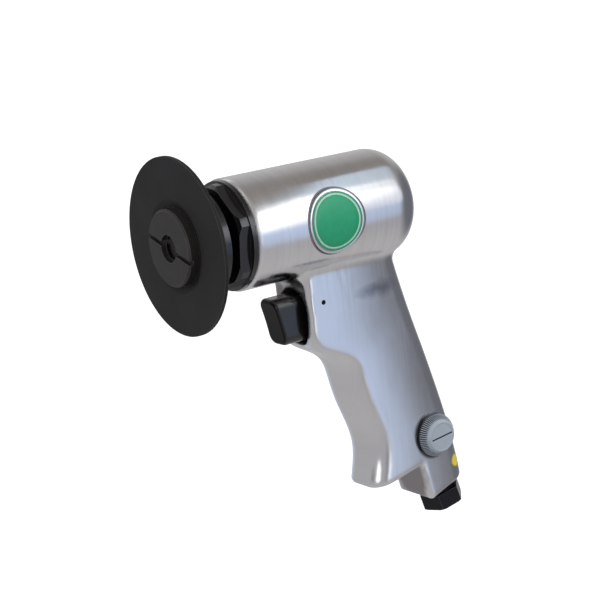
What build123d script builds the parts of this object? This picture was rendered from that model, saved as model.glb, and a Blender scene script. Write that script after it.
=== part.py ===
from build123d import *
import math
import os

# Air disc sander: a pistol-grip casting with an air vane motor in its barrel, a sanding pad on the
# motor's spindle, a push trigger that opens a poppet valve, and a speed regulator low in the grip.
# Millimetres. The spindle lies along Y and the pad faces -Y. +Z is up, +X is the operator's left.
# The origin is on the spindle's axis, in the plane of the sanding face.

# Sanding pad and the nut that holds it
PAD_DIA = 75.0
PAD_RIM_THICK = 1.6
PAD_HUB_THICK = 3.4
PAD_DISH_DIA = 40.0
PAD_DISH_DEPTH = 1.2
PAD_BORE_DIA = 16.0
NUT_DIA = 32.6
NUT_PROUD = 3.4
NUT_EDGE = 0.8
NUT_SLOT_WIDTH = 2.2
NUT_SLOT_DEPTH = 1.8
NUT_SLOT_TURN = 17.0
NUT_RECESS_DIA = 11.7
NUT_RECESS_DEPTH = 2.2
FLANGE_DIA = 44.4
FLANGE_THICK = 9.6
FLANGE_EDGE = 1.0
FLANGE_HUB_DIA = 16.0

# Hexagonal clamp nut that closes the barrel
CAP_GAP = 3.8
CAP_FLATS = 41.0
CAP_CORNER_DIA = 45.4
CAP_HEX_LENGTH = 5.2
CAP_HEX_BEVEL = 1.3
CAP_HEX_TURN = 21.0
CAP_COLLAR_DIA = 46.6
CAP_COLLAR = 2.0
CAP_SKIRT = 8.0
CAP_SKIRT_DIA = 43.4
SEAL_THICK = 3.0

# Barrel of the casting
BARREL_DIA = 48.0
BARREL_LENGTH = 86.8
BARREL_REAR_ROUND = 14.0
BARREL_MOUTH_EDGE = 0.5
BARREL_REAR_WALL = 9.0
MOTOR_BORE_DIA = 40.0

# Vane motor
SPINDLE_DIA = 10.0
ROTOR_DIA = 28.4
ROTOR_OFFSET = 1.6
REAR_SHAFT_DIA = 8.0
VANE_COUNT = 5
VANE_THICK = 1.8
VANE_HEIGHT = 7.0
FRONT_PLATE = 11.0
REAR_PLATE = 10.0
GASKET = 1.0
FRONT_BEARING_DIA = 26.0
FRONT_BEARING_WIDTH = 8.0
REAR_BEARING_DIA = 22.0
REAR_BEARING_WIDTH = 7.0
BALL_COUNT = 8
BALL_SHARE = 0.28
LAND_SHARE = 0.18
DOWEL_DIA = 2.0

# Grip of the casting. Its side view runs through points that are measured back from the trigger's face
# and down from the barrel's underside.
TRIGGER_FACE_SETBACK = 27.8
FINGER_SIDE = (
    (0.0, -10.0),
    (0.0, 8.0),
    (0.0, 17.0),
    (0.0, 24.2),
    (3.2, 31.1),
    (10.2, 35.9),
    (15.8, 41.0),
    (18.8, 50.0),
    (21.8, 62.0),
    (27.9, 83.0),
    (26.3, 95.0),
    (21.3, 114.0),
)
PALM_SIDE = ((49.0, -12.0), (60.2, 33.0), (71.0, 71.0), (79.0, 116.0))
BOSS_CORNER = (51.2, 96.0)
BOSS_TOE = (55.0, 113.4)
TRIGGER_BLOCK_ROUND = 2.4
LIP_START = 0.28
LIP_END = 0.43
GRIP_WIDTH = 26.8
GRIP_FOOT_WIDTH = 25.2
GRIP_CROWN = 0.4
GRIP_PALM_TAPER = 3.4
GRIP_FULLEST = 0.5
GRIP_FRONT_ROUND = 8.2
GRIP_REAR_ROUND = 9.5
GRIP_STATIONS = 24
GRIP_BLEND = 6.0
FOOT_SLOPE = 11.0
FOOT_EDGE = 1.9

# Trigger and throttle valve
TRIGGER_WIDTH = 13.4
TRIGGER_HEIGHT = 20.8
TRIGGER_REACH = 13.5
TRIGGER_LEAN = 4.4
TRIGGER_EDGE = 1.6
TRIGGER_ROUND = 4.4
TRIGGER_HOLLOW = 0.5
TRIGGER_TRAVEL = 4.5
TRIGGER_DROP = 17.1
TRIGGER_TAIL = 10.0
POCKET_SIDE = 4.2
POCKET_END = 2.6
TRIGGER_PIN_DIA = 2.0
TRIGGER_PIN_SETBACK = 7.4
TRIGGER_PIN_RISE = 6.4
PIN_INSET = 1.6
VALVE_BORE_DIA = 11.0
VALVE_STEM_DIA = 5.0
STEM_SOCKET = 6.0
VALVE_BUSHING_LENGTH = 12.0
VALVE_HEAD_DIA = 9.2
VALVE_HEAD_THICK = 2.5
VALVE_SEAL_THICK = 1.0
SPRING_WIRE = 0.9
SPRING_TURNS = 5
SPRING_LENGTH = 10.0

# Air inlet, regulator and exhaust
INLET_RAKE = 16.0
INLET_SETBACK = 12.9
INLET_THREAD_DIA = 11.8
INLET_THREAD_LENGTH = 13.0
INLET_SPIGOT_DIA = 14.4
INLET_SPIGOT_LENGTH = 10.0
INLET_NECK = 2.6
INLET_HEX_FLATS = 17.4
INLET_HEX_LENGTH = 7.6
INLET_HEX_TURN = 20.0
INLET_HEX_BEVEL = 0.7
INLET_PASSAGE_DIA = 8.0
SCREEN_THICK = 0.8
SCREEN_MESH = 1.6
SCREEN_HOLES = 5
REGULATOR_SETBACK = 59.5
REGULATOR_DROP = 83.0
KNOB_DIA = 18.6
KNOB_FACE_DIA = 12.2
KNOB_HEIGHT = 4.2
KNOB_SKIRT = 1.9
KNOB_LEDGE = 0.5
KNOB_RIBS = 60
KNOB_RIB_CUT = 0.35
KNOB_FACE_EDGE = 0.6
KNOB_GROOVE = 0.8
KNOB_POINTER = 20.0
KNOB_SEAT_DIA = 16.4
KNOB_SEAT_PROUD = -0.3
PLUG_DIA = 10.0
PLUG_PORT_DIA = 6.0
PLUG_NECK_DIA = 6.0
PLUG_WALL = 5.0
CLIP_DEPTH = 3.0
SEAL_WIRE = 1.6
CLIP_THICK = 1.0
CLIP_GAP = 2.0
EXHAUST_WIDTH = 15.0
EXHAUST_LENGTH = 12.0
EXHAUST_DEPTH = 9.0
EXHAUST_MARGIN = 3.0
EXHAUST_COVER = 1.5
EXHAUST_SLOTS = 4
EXHAUST_SLOT_LENGTH = 8.4
EXHAUST_PASSAGE_DIA = 3.6
EXHAUST_EDGE = 1.8
EXHAUST_PORT_ASIDE = 0.5
EXHAUST_PORT_DROP = 0.8

# Badge on the barrel and round label on the grip
BADGE_DIA = 29.0
BADGE_THICK = 0.5
BADGE_SETBACK = 39.3
LABEL_DIA = 6.6
LABEL_THICK = 0.3
LABEL_TURN = 31.0
LABEL_SETBACK = 14.0
LABEL_DROP = 2.9

# Clearances
SEAT = 0.05
RUNNING = 0.1
SLIDING = 0.35

# Places along the spindle, from the pad back to the barrel's rear
pad_seat_y = PAD_DISH_DEPTH
pad_back_y = pad_seat_y + PAD_HUB_THICK
flange_back_y = pad_back_y + FLANGE_THICK
cap_front_y = flange_back_y + CAP_GAP
cap_collar_y = cap_front_y + CAP_HEX_LENGTH
barrel_front_y = cap_collar_y + CAP_COLLAR
stack_front_y = barrel_front_y + CAP_SKIRT
cylinder_front_y = stack_front_y + FRONT_PLATE
barrel_rear_y = barrel_front_y + BARREL_LENGTH
bore_end_y = barrel_rear_y - BARREL_REAR_WALL
rear_plate_back_y = bore_end_y - GASKET
cylinder_back_y = rear_plate_back_y - REAR_PLATE
barrel_r = BARREL_DIA / 2
bore_r = MOTOR_BORE_DIA / 2
spindle_r = SPINDLE_DIA / 2
rotor_r = ROTOR_DIA / 2

# Places in the grip
trigger_face_y = barrel_front_y + TRIGGER_FACE_SETBACK
underside_z = -barrel_r
valve_z = underside_z - TRIGGER_DROP
pocket_back_y = trigger_face_y + TRIGGER_TAIL + TRIGGER_TRAVEL + 2 * SLIDING
bushing_back_y = pocket_back_y + VALVE_BUSHING_LENGTH
valve_head_y = bushing_back_y + SEAT + VALVE_SEAL_THICK
spring_front_y = valve_head_y + VALVE_HEAD_THICK + SEAT
valve_end_y = spring_front_y + SPRING_LENGTH + SEAT
grip_half = GRIP_WIDTH / 2


def grip_point(back, down):
    """A point of the side view: back from the trigger face, down from the barrel's underside."""
    return (0, trigger_face_y + back, underside_z - down)


def turned(outline, origin=(0, 0, 0), along=(0, 1, 0), across=(1, 0, 0)):
    """A solid turned about the axis along, from its half outline of (distance, radius) points."""
    with BuildPart() as piece:
        with BuildSketch(Plane(origin=origin, x_dir=along, z_dir=across)):
            with BuildLine():
                Polyline(*outline, close=True)
            make_face()
        revolve(axis=Axis(origin, along))
    return piece.part


def ring(start, end, inner_r, outer_r, **place):
    """A plain turned ring or, with no inner radius, a disc."""
    return turned([(start, inner_r), (end, inner_r), (end, outer_r), (start, outer_r)], **place)


def rod(start, end, radius):
    """A round bar between two points, also used to drill holes."""
    reach = Vector(*end) - Vector(*start)
    with BuildPart() as piece:
        with BuildSketch(Plane(origin=start, z_dir=reach)):
            Circle(radius)
        extrude(amount=reach.length)
    return piece.part


def round_seal(distance, middle_r, wire, origin=(0, 0, 0), along=(0, 1, 0), across=(1, 0, 0)):
    """A rubber ring of round section about the axis along."""
    with BuildPart() as piece:
        with BuildSketch(Plane(origin=origin, x_dir=along, z_dir=across)):
            with Locations((distance, middle_r)):
                Circle(wire / 2)
        revolve(axis=Axis(origin, along))
    return piece.part


# Sanding pad: flat working face with a shallow dish for the nut, thinning towards a flexible rim
pad_r = PAD_DIA / 2
dish_r = PAD_DISH_DIA / 2
flange_r = FLANGE_DIA / 2
with BuildPart() as backing_pad:
    with BuildSketch(Plane.YZ):
        with BuildLine():
            front = Polyline(
                (pad_back_y, PAD_BORE_DIA / 2),
                (pad_seat_y, PAD_BORE_DIA / 2),
                (pad_seat_y, NUT_DIA / 2 + SLIDING),
                (0, dish_r),
                (0, pad_r),
                (PAD_RIM_THICK, pad_r),
            )
            TangentArc(front @ 1, (pad_back_y, flange_r), tangent=(0, -1))
            Line((pad_back_y, flange_r), front @ 0)
        make_face()
    revolve(axis=Axis.Y)

# Pad nut: round flange with a driver slot, and a hub that centres the pad
nut_front_y = -NUT_PROUD
with BuildPart() as pad_nut:
    add(
        turned(
            [
                (nut_front_y, NUT_RECESS_DIA / 2),
                (nut_front_y, NUT_DIA / 2 - NUT_EDGE),
                (nut_front_y + NUT_EDGE, NUT_DIA / 2),
                (pad_seat_y, NUT_DIA / 2),
                (pad_seat_y, PAD_BORE_DIA / 2 - SEAT),
                (pad_back_y, PAD_BORE_DIA / 2 - SEAT),
                (pad_back_y, spindle_r + SEAT),
                (nut_front_y + NUT_RECESS_DEPTH, spindle_r + SEAT),
                (nut_front_y + NUT_RECESS_DEPTH, NUT_RECESS_DIA / 2),
            ]
        )
    )
    with BuildSketch(Plane(origin=(0, nut_front_y, 0), x_dir=(1, 0, 0), z_dir=(0, 1, 0))):
        Rectangle(NUT_DIA, NUT_SLOT_WIDTH, rotation=NUT_SLOT_TURN)
    extrude(amount=NUT_SLOT_DEPTH, mode=Mode.SUBTRACT)

# Backing flange: rigid disc behind the pad, with a sleeve back to the front bearing
hub_r = FLANGE_HUB_DIA / 2
with BuildPart() as pad_flange:
    add(
        turned(
            [
                (pad_back_y, spindle_r + SEAT),
                (pad_back_y, flange_r),
                (flange_back_y - FLANGE_EDGE, flange_r),
                (flange_back_y, flange_r - FLANGE_EDGE),
                (flange_back_y, hub_r),
                (stack_front_y, hub_r),
                (stack_front_y, spindle_r + SEAT),
            ]
        )
    )

# Front cap: hexagonal clamp nut with a round collar and a threaded skirt
cap_bore_r = hub_r + SLIDING
seal_r = cap_bore_r + SEAL_THICK
with BuildPart() as front_cap:
    with BuildSketch(Plane(origin=(0, cap_front_y, 0), x_dir=(1, 0, 0), z_dir=(0, 1, 0))):
        RegularPolygon(CAP_FLATS / 2, 6, major_radius=False, rotation=-CAP_HEX_TURN)
    extrude(amount=CAP_HEX_LENGTH)
    add(
        turned(
            [
                (cap_front_y, 0),
                (cap_front_y, CAP_CORNER_DIA / 2 - CAP_HEX_BEVEL),
                (cap_front_y + CAP_HEX_BEVEL, CAP_CORNER_DIA / 2),
                (cap_collar_y, CAP_CORNER_DIA / 2),
                (cap_collar_y, 0),
            ]
        ),
        mode=Mode.INTERSECT,
    )
    add(ring(cap_collar_y, barrel_front_y, 0, CAP_COLLAR_DIA / 2))
    add(ring(barrel_front_y, stack_front_y, 0, CAP_SKIRT_DIA / 2))
    add(ring(cap_front_y, stack_front_y, 0, cap_bore_r), mode=Mode.SUBTRACT)
    add(ring(cap_collar_y, cap_collar_y + SEAL_THICK, 0, seal_r), mode=Mode.SUBTRACT)

# Felt ring that keeps dust out of the front bearing
with BuildPart() as spindle_seal:
    add(ring(cap_collar_y, cap_collar_y + SEAL_THICK, cap_bore_r, seal_r - SEAT))


def ball_bearing(front_y, shaft_r, outer_r, width):
    """Outer race, inner race and balls of a deep groove bearing on the spindle."""
    section = outer_r - shaft_r
    pitch_r = (outer_r + shaft_r) / 2
    ball_r = section * BALL_SHARE
    land = section * LAND_SHARE
    middle_y = front_y + width / 2
    groove = round_seal(middle_y, pitch_r, 2 * (ball_r + RUNNING))
    with BuildPart() as outer:
        add(ring(front_y, front_y + width, pitch_r + land, outer_r))
        add(groove, mode=Mode.SUBTRACT)
    with BuildPart() as inner:
        add(ring(front_y, front_y + width, shaft_r + SEAT, pitch_r - land))
        add(groove, mode=Mode.SUBTRACT)
    with BuildPart() as balls:
        with Locations(Plane(origin=(0, middle_y, 0), x_dir=(1, 0, 0), z_dir=(0, 1, 0))):
            with PolarLocations(pitch_r, BALL_COUNT):
                Sphere(ball_r)
    return outer, inner, balls


# Two ball bearings carry the rotor, one in each end plate
front_bearing_r = FRONT_BEARING_DIA / 2
rear_bearing_r = REAR_BEARING_DIA / 2
rear_shaft_r = REAR_SHAFT_DIA / 2
front_outer, front_inner, front_balls = ball_bearing(
    stack_front_y, spindle_r, front_bearing_r, FRONT_BEARING_WIDTH
)
front_bearing_back_y = stack_front_y + FRONT_BEARING_WIDTH
rear_bearing_y = rear_plate_back_y - REAR_BEARING_WIDTH
rear_outer, rear_inner, rear_balls = ball_bearing(
    rear_bearing_y, rear_shaft_r, rear_bearing_r, REAR_BEARING_WIDTH
)

# Dowel that keeps the cylinder and end plates from turning in the barrel
dowel_r = DOWEL_DIA / 2
dowel_z = bore_r - DOWEL_DIA
dowel_path = ((0, front_bearing_back_y, dowel_z), (0, rear_bearing_y, dowel_z))
dowel_hole = rod(*dowel_path, dowel_r + SEAT)
with BuildPart() as locating_pin:
    add(rod(*dowel_path, dowel_r))

# End plates: discs that close the cylinder, each with a pocket for its bearing
plate_r = bore_r - SEAT
with BuildPart() as front_plate:
    add(ring(stack_front_y, cylinder_front_y, spindle_r + SLIDING, plate_r))
    add(ring(stack_front_y, front_bearing_back_y, 0, front_bearing_r + SEAT), mode=Mode.SUBTRACT)
    add(dowel_hole, mode=Mode.SUBTRACT)
with BuildPart() as rear_plate:
    add(ring(cylinder_back_y, rear_plate_back_y, rear_shaft_r + SLIDING, plate_r))
    add(ring(rear_bearing_y, rear_plate_back_y, 0, rear_bearing_r + SEAT), mode=Mode.SUBTRACT)
    add(dowel_hole, mode=Mode.SUBTRACT)

# Cylinder: sleeve whose bore is set lower than the rotor, so that the vanes have a crescent to sweep
chamber_r = rotor_r + ROTOR_OFFSET + RUNNING
feed_y = bushing_back_y - VALVE_BUSHING_LENGTH / 2
port_r = EXHAUST_PASSAGE_DIA / 2
port_aside = bore_r * EXHAUST_PORT_ASIDE
port_drop = bore_r * EXHAUST_PORT_DROP
exhaust_mouths = [(side * port_aside, pocket_back_y, -port_drop) for side in (-1, 1)]
with BuildPart() as cylinder:
    add(ring(cylinder_front_y, cylinder_back_y, 0, plate_r))
    chamber = ring(cylinder_front_y, cylinder_back_y, 0, chamber_r, origin=(0, 0, -ROTOR_OFFSET))
    add(chamber, mode=Mode.SUBTRACT)
    add(dowel_hole, mode=Mode.SUBTRACT)
    add(rod((0, feed_y, 0), (0, feed_y, -barrel_r), port_r), mode=Mode.SUBTRACT)
    for mouth_x, mouth_y, mouth_z in exhaust_mouths:
        port_end = (2 * mouth_x, mouth_y, 2 * mouth_z)
        add(rod((0, mouth_y, 0), port_end, port_r), mode=Mode.SUBTRACT)

# Gasket between the rear plate and the end of the barrel's bore
with BuildPart() as motor_gasket:
    add(ring(rear_plate_back_y, bore_end_y, rear_bearing_r - GASKET, plate_r))

# Rotor: slotted drum in one piece with the spindle
slot_r = rotor_r - VANE_HEIGHT - SEAT
spindle_end_y = nut_front_y + NUT_RECESS_DEPTH
with BuildPart() as rotor:
    add(
        turned(
            [
                (spindle_end_y, 0),
                (spindle_end_y, spindle_r),
                (cylinder_front_y + RUNNING, spindle_r),
                (cylinder_front_y + RUNNING, rotor_r),
                (cylinder_back_y - RUNNING, rotor_r),
                (cylinder_back_y - RUNNING, rear_shaft_r),
                (rear_plate_back_y, rear_shaft_r),
                (rear_plate_back_y, 0),
            ]
        )
    )
    slot_plane = Plane(origin=(0, cylinder_front_y, 0), x_dir=(0, 0, 1), z_dir=(0, 1, 0))
    with BuildSketch(slot_plane):
        with PolarLocations(slot_r, VANE_COUNT):
            slot_size = (2 * VANE_HEIGHT, VANE_THICK + 2 * SEAT)
            Rectangle(*slot_size, align=(Align.MIN, Align.CENTER))
    extrude(amount=cylinder_back_y - cylinder_front_y, mode=Mode.SUBTRACT)

# Vanes: flat blades, shown drawn into their slots, where they clear the cylinder all the way round
vanes = []
for number in range(VANE_COUNT):
    with BuildPart() as vane:
        with BuildSketch(slot_plane.offset(RUNNING)):
            with PolarLocations(slot_r + SEAT, 1, start_angle=number * 360 / VANE_COUNT):
                Rectangle(VANE_HEIGHT - SEAT, VANE_THICK, align=(Align.MIN, Align.CENTER))
        extrude(amount=cylinder_back_y - cylinder_front_y - 2 * RUNNING)
    vanes.append(vane)

# Side view of the grip: finger side with the trigger's lip and a swell at the foot, bowed palm side
with BuildLine() as finger_side:
    Spline(*[grip_point(*point) for point in FINGER_SIDE])
with BuildLine() as palm_side:
    Spline(*[grip_point(*point) for point in PALM_SIDE])

# Foot of the grip: a sloping sole under the finger side, and behind it the longer inlet boss
boss_corner = grip_point(*BOSS_CORNER)
boss_toe = grip_point(*BOSS_TOE)
slope = math.radians(FOOT_SLOPE)
sole_forward = (0, -math.cos(slope), -math.sin(slope))
sole_down = (0, math.sin(slope), -math.cos(slope))
rake = math.radians(INLET_RAKE)
inlet_down = (0, math.sin(rake), -math.cos(rake))
inlet_up = (0, -math.sin(rake), math.cos(rake))
boss_back = (0, math.cos(rake), math.sin(rake))


def from_point(point, direction, distance):
    """The point at a distance from another in a direction."""
    return tuple(p + distance * d for p, d in zip(point, direction))


def side_view(points):
    """Places of points in the side view, as (y, z)."""
    return [(point[1], point[2]) for point in points]


foot_outline = side_view(
    [
        from_point(boss_corner, sole_forward, BARREL_LENGTH),
        boss_corner,
        boss_toe,
        from_point(boss_toe, boss_back, BARREL_LENGTH),
        from_point(boss_toe, inlet_down, BARREL_LENGTH),
    ]
)


def eased(share, start, end):
    """Rises smoothly from 0 at start to 1 at end."""
    part_way = min(1, max(0, (share - start) / (end - start)))
    return part_way**2 * (3 - 2 * part_way)


# Grip: sections with crowned sides, a rounded finger side and a rounder palm side
with BuildPart() as grip_blank:
    for station in range(GRIP_STATIONS):
        share = station / (GRIP_STATIONS - 1)
        front_at = finger_side.line @ share
        rear_at = palm_side.line @ share
        half_depth = (rear_at - front_at).length / 2
        half_width = (GRIP_WIDTH + (GRIP_FOOT_WIDTH - GRIP_WIDTH) * share) / 2
        edge = half_width - GRIP_CROWN
        palm_edge = half_width - GRIP_PALM_TAPER
        fullest = -half_depth * GRIP_FULLEST
        below_lip = eased(share, LIP_START, LIP_END)
        front_round = TRIGGER_BLOCK_ROUND + (GRIP_FRONT_ROUND - TRIGGER_BLOCK_ROUND) * below_lip
        backwards = (rear_at - front_at).normalized()
        level = Plane(
            origin=(front_at + rear_at) / 2,
            x_dir=(1, 0, 0),
            z_dir=Vector(1, 0, 0).cross(backwards),
        )
        with BuildSketch(level) as section:
            with BuildLine():
                Line((-edge, -half_depth), (edge, -half_depth))
                ThreePointArc((edge, -half_depth), (half_width, fullest), (palm_edge, half_depth))
                Line((palm_edge, half_depth), (-palm_edge, half_depth))
                ThreePointArc((-palm_edge, half_depth), (-half_width, fullest), (-edge, -half_depth))
            make_face()
            fillet(section.vertices().group_by(Axis.Y)[0], front_round)
            fillet(section.vertices().group_by(Axis.Y)[-1], GRIP_REAR_ROUND)
    loft()
    with BuildSketch(Plane.YZ):
        with BuildLine():
            Polyline(*foot_outline, close=True)
        make_face()
    extrude(amount=GRIP_WIDTH, both=True, mode=Mode.SUBTRACT)

# Air path through the grip: inlet boss, regulator plug, valve chamber and two exhaust passages
regulator_at = grip_point(REGULATOR_SETBACK, REGULATOR_DROP)
inlet_at = from_point(boss_toe, boss_back, INLET_SETBACK)
inlet_top = from_point(inlet_at, inlet_up, INLET_SPIGOT_LENGTH)
screen_top = from_point(inlet_top, inlet_up, SCREEN_THICK)
chamber_at = (0, valve_end_y - SPRING_LENGTH / 2, valve_z)
exhaust_at = from_point(boss_corner, sole_forward, EXHAUST_LENGTH / 2 + EXHAUST_MARGIN)
sole_plane = Plane(origin=exhaust_at, x_dir=(1, 0, 0), z_dir=sole_down)
exhaust_top = from_point(exhaust_at, sole_down, -EXHAUST_DEPTH)
passage_r = INLET_PASSAGE_DIA / 2
plug_r = PLUG_DIA / 2
plug_axis = dict(origin=regulator_at, along=(1, 0, 0), across=(0, -1, 0))
inlet_axis = dict(origin=inlet_at, along=inlet_down)
valve_axis = dict(origin=(0, 0, valve_z))
knob_seat_x = grip_half + KNOB_SEAT_PROUD
knob_base_x = knob_seat_x + SLIDING
plug_end_x = -grip_half + PLUG_WALL
clip_x = knob_seat_x - CLIP_DEPTH
valve_r = VALVE_BORE_DIA / 2
trigger_half = TRIGGER_WIDTH / 2
trigger_pin_at = (0, trigger_face_y + TRIGGER_PIN_SETBACK, valve_z + TRIGGER_PIN_RISE)
trigger_pin_r = TRIGGER_PIN_DIA / 2


def across_grip(point, left, right):
    """Two points that cross the grip through a place in its side view."""
    return ((left, point[1], point[2]), (right, point[1], point[2]))


# Housing: one casting of barrel and grip, bored for the motor and drilled for the air
with BuildPart() as housing:
    with BuildSketch(Plane.YZ):
        with BuildLine():
            straight_end_y = barrel_rear_y - BARREL_REAR_ROUND
            Line((barrel_front_y, 0), (barrel_front_y, barrel_r - BARREL_MOUTH_EDGE))
            Line(
                (barrel_front_y, barrel_r - BARREL_MOUTH_EDGE),
                (barrel_front_y + BARREL_MOUTH_EDGE, barrel_r),
            )
            Line((barrel_front_y + BARREL_MOUTH_EDGE, barrel_r), (straight_end_y, barrel_r))
            shoulder = JernArc((straight_end_y, barrel_r), (1, 0), BARREL_REAR_ROUND, -90)
            Line(shoulder @ 1, (barrel_rear_y, 0))
            Line((barrel_rear_y, 0), (barrel_front_y, 0))
        make_face()
    revolve(axis=Axis.Y)
    add(grip_blank.part)
    fillet(housing.edges(Select.NEW), GRIP_BLEND)
    flat_faces = housing.faces().filter_by(GeomType.PLANE)
    foot_faces = flat_faces.filter_by(lambda face: face.center().Z < regulator_at[2])
    foot_corner = Vector(*boss_corner)
    foot_edges = dict.fromkeys(edge for face in foot_faces for edge in face.edges())
    outer_edges = [edge for edge in foot_edges if (edge.center() - foot_corner).length > FOOT_EDGE]
    fillet(outer_edges, FOOT_EDGE)

    # Seat under the regulator's knob
    add(ring(0, knob_seat_x, 0, KNOB_SEAT_DIA / 2, **plug_axis))

    # Motor bore and the thread for the front cap
    add(ring(barrel_front_y, bore_end_y, 0, bore_r), mode=Mode.SUBTRACT)
    add(ring(barrel_front_y, stack_front_y, 0, CAP_SKIRT_DIA / 2 + SEAT), mode=Mode.SUBTRACT)

    # Trigger pocket, pin hole and valve bore
    pocket_back = Plane(origin=(0, pocket_back_y, valve_z), x_dir=(1, 0, 0), z_dir=(0, -1, 0))
    with BuildSketch(pocket_back):
        pocket_size = (TRIGGER_HEIGHT + 2 * POCKET_END, TRIGGER_WIDTH + 2 * POCKET_SIDE)
        SlotOverall(*pocket_size, rotation=90)
    extrude(amount=TRIGGER_TAIL + TRIGGER_REACH, mode=Mode.SUBTRACT)
    pin_path = across_grip(trigger_pin_at, -grip_half, grip_half)
    add(rod(*pin_path, trigger_pin_r + SEAT), mode=Mode.SUBTRACT)
    add(ring(pocket_back_y, valve_end_y, 0, valve_r, **valve_axis), mode=Mode.SUBTRACT)
    add(rod((0, feed_y, valve_z), (0, feed_y, -bore_r + SEAT), port_r), mode=Mode.SUBTRACT)

    # Inlet thread, regulator bore and the passage that joins them to the valve
    add(rod(inlet_at, screen_top, INLET_SPIGOT_DIA / 2 + SEAT), mode=Mode.SUBTRACT)
    add(rod(screen_top, regulator_at, passage_r), mode=Mode.SUBTRACT)
    add(rod(regulator_at, chamber_at, passage_r), mode=Mode.SUBTRACT)
    add(ring(plug_end_x, knob_seat_x, 0, plug_r + RUNNING, **plug_axis), mode=Mode.SUBTRACT)
    add(ring(clip_x, clip_x + CLIP_THICK, 0, plug_r + CLIP_THICK, **plug_axis), mode=Mode.SUBTRACT)

    # Exhaust chamber in the sole, and a passage up each side of the valve
    with BuildSketch(sole_plane):
        RectangleRounded(EXHAUST_WIDTH, EXHAUST_LENGTH, EXHAUST_EDGE)
    extrude(amount=-EXHAUST_DEPTH, mode=Mode.SUBTRACT)
    for mouth in exhaust_mouths:
        low = (math.copysign(EXHAUST_WIDTH / 3, mouth[0]), exhaust_top[1], exhaust_top[2])
        add(rod(low, mouth, port_r), mode=Mode.SUBTRACT)

# Trigger: plastic block with a leaning, slightly hollow finger face, round shoulders and a slot for its pin
trigger_top_z = valve_z + TRIGGER_HEIGHT / 2
trigger_foot_z = valve_z - TRIGGER_HEIGHT / 2
trigger_tip_y = trigger_face_y - TRIGGER_REACH
trigger_tail_y = trigger_face_y + TRIGGER_TAIL
stem_r = VALVE_STEM_DIA / 2
stem_front_y = trigger_tail_y - STEM_SOCKET
with BuildPart() as trigger:
    with BuildSketch(Plane.YZ):
        with BuildLine():
            top_front = (trigger_tip_y, trigger_top_z)
            foot_front = (trigger_tip_y + TRIGGER_LEAN, trigger_foot_z)
            hollow = (trigger_tip_y + TRIGGER_LEAN / 2 + TRIGGER_HOLLOW, valve_z)
            ThreePointArc(top_front, hollow, foot_front)
            Polyline(
                foot_front,
                (trigger_tail_y, trigger_foot_z),
                (trigger_tail_y, trigger_top_z),
                top_front,
            )
        make_face()
    extrude(amount=trigger_half, both=True)
    fillet(trigger.edges().filter_by(Axis.Y), TRIGGER_ROUND)
    fillet(trigger.faces().sort_by(Axis.Y)[0].edges(), TRIGGER_EDGE)
    slot_centre = trigger_pin_at[1] - TRIGGER_TRAVEL / 2
    with BuildSketch(Plane.YZ.offset(-trigger_half)):
        with Locations((slot_centre, trigger_pin_at[2])):
            SlotCenterToCenter(TRIGGER_TRAVEL, 2 * (trigger_pin_r + SLIDING))
    extrude(amount=TRIGGER_WIDTH, mode=Mode.SUBTRACT)
    add(ring(stem_front_y, trigger_tail_y, 0, stem_r + SEAT, **valve_axis), mode=Mode.SUBTRACT)

# Pin through the grip that keeps the trigger in its pocket
pin_half = grip_half - PIN_INSET
with BuildPart() as trigger_pin:
    add(rod(*across_grip(trigger_pin_at, -pin_half, pin_half), trigger_pin_r))

# Valve bushing: brass sleeve that guides the stem and forms the valve's seat
guide_end_y = pocket_back_y + VALVE_BUSHING_LENGTH / 3
with BuildPart() as valve_bushing:
    add(ring(pocket_back_y, bushing_back_y, stem_r + RUNNING, valve_r - SEAT, **valve_axis))
    add(ring(guide_end_y, bushing_back_y, 0, stem_r + SLIDING * 2, **valve_axis), mode=Mode.SUBTRACT)
    cross_holes = rod((0, feed_y, valve_z - valve_r), (0, feed_y, valve_z + valve_r), stem_r / 2)
    add(cross_holes, mode=Mode.SUBTRACT)
    groove_y = (pocket_back_y + guide_end_y) / 2
    groove = round_seal(groove_y, valve_r - SEAL_WIRE / 2, SEAL_WIRE + SEAT, **valve_axis)
    add(groove, mode=Mode.SUBTRACT)
with BuildPart() as bushing_seal:
    add(round_seal(groove_y, valve_r - SEAL_WIRE / 2, SEAL_WIRE - SEAT, **valve_axis))

# Valve stem: rod from the trigger to the head that lifts off the seat
head_r = VALVE_HEAD_DIA / 2
with BuildPart() as valve_stem:
    add(
        turned(
            [
                (stem_front_y, 0),
                (stem_front_y, stem_r),
                (valve_head_y, stem_r),
                (valve_head_y, head_r),
                (valve_head_y + VALVE_HEAD_THICK, head_r),
                (valve_head_y + VALVE_HEAD_THICK, 0),
            ],
            **valve_axis,
        )
    )
with BuildPart() as valve_seal:
    add(ring(bushing_back_y + SEAT, valve_head_y, stem_r + SEAT, head_r, **valve_axis))


def coil_path(radius, rise, quarters, start_y):
    """A coil of tangent arcs, two to each quarter turn, that climbs by rise in a turn."""
    step = math.pi / 2
    lead = rise / (2 * math.pi)
    with BuildLine() as path:
        for quarter in range(quarters):
            ends = []
            for angle in (quarter * step, (quarter + 1) * step):
                place = Vector(
                    radius * math.cos(angle),
                    start_y + lead * angle,
                    valve_z + radius * math.sin(angle),
                )
                heading = Vector(-radius * math.sin(angle), lead, radius * math.cos(angle))
                ends.append((place, heading.normalized()))
            (first, leaving), (last, arriving) = ends
            chord = last - first
            both = leaving + arriving
            bend = 2 * (1 - leaving.dot(arriving))
            reach = chord.dot(both)
            handle = (math.sqrt(reach**2 + bend * chord.dot(chord)) - reach) / bend
            knee_in = first + leaving * handle
            knee_out = last - arriving * handle
            meeting = (knee_in + knee_out) / 2
            TangentArc(first, meeting, tangent=leaving)
            TangentArc(meeting, last, tangent=knee_out - knee_in)
    return path


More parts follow.
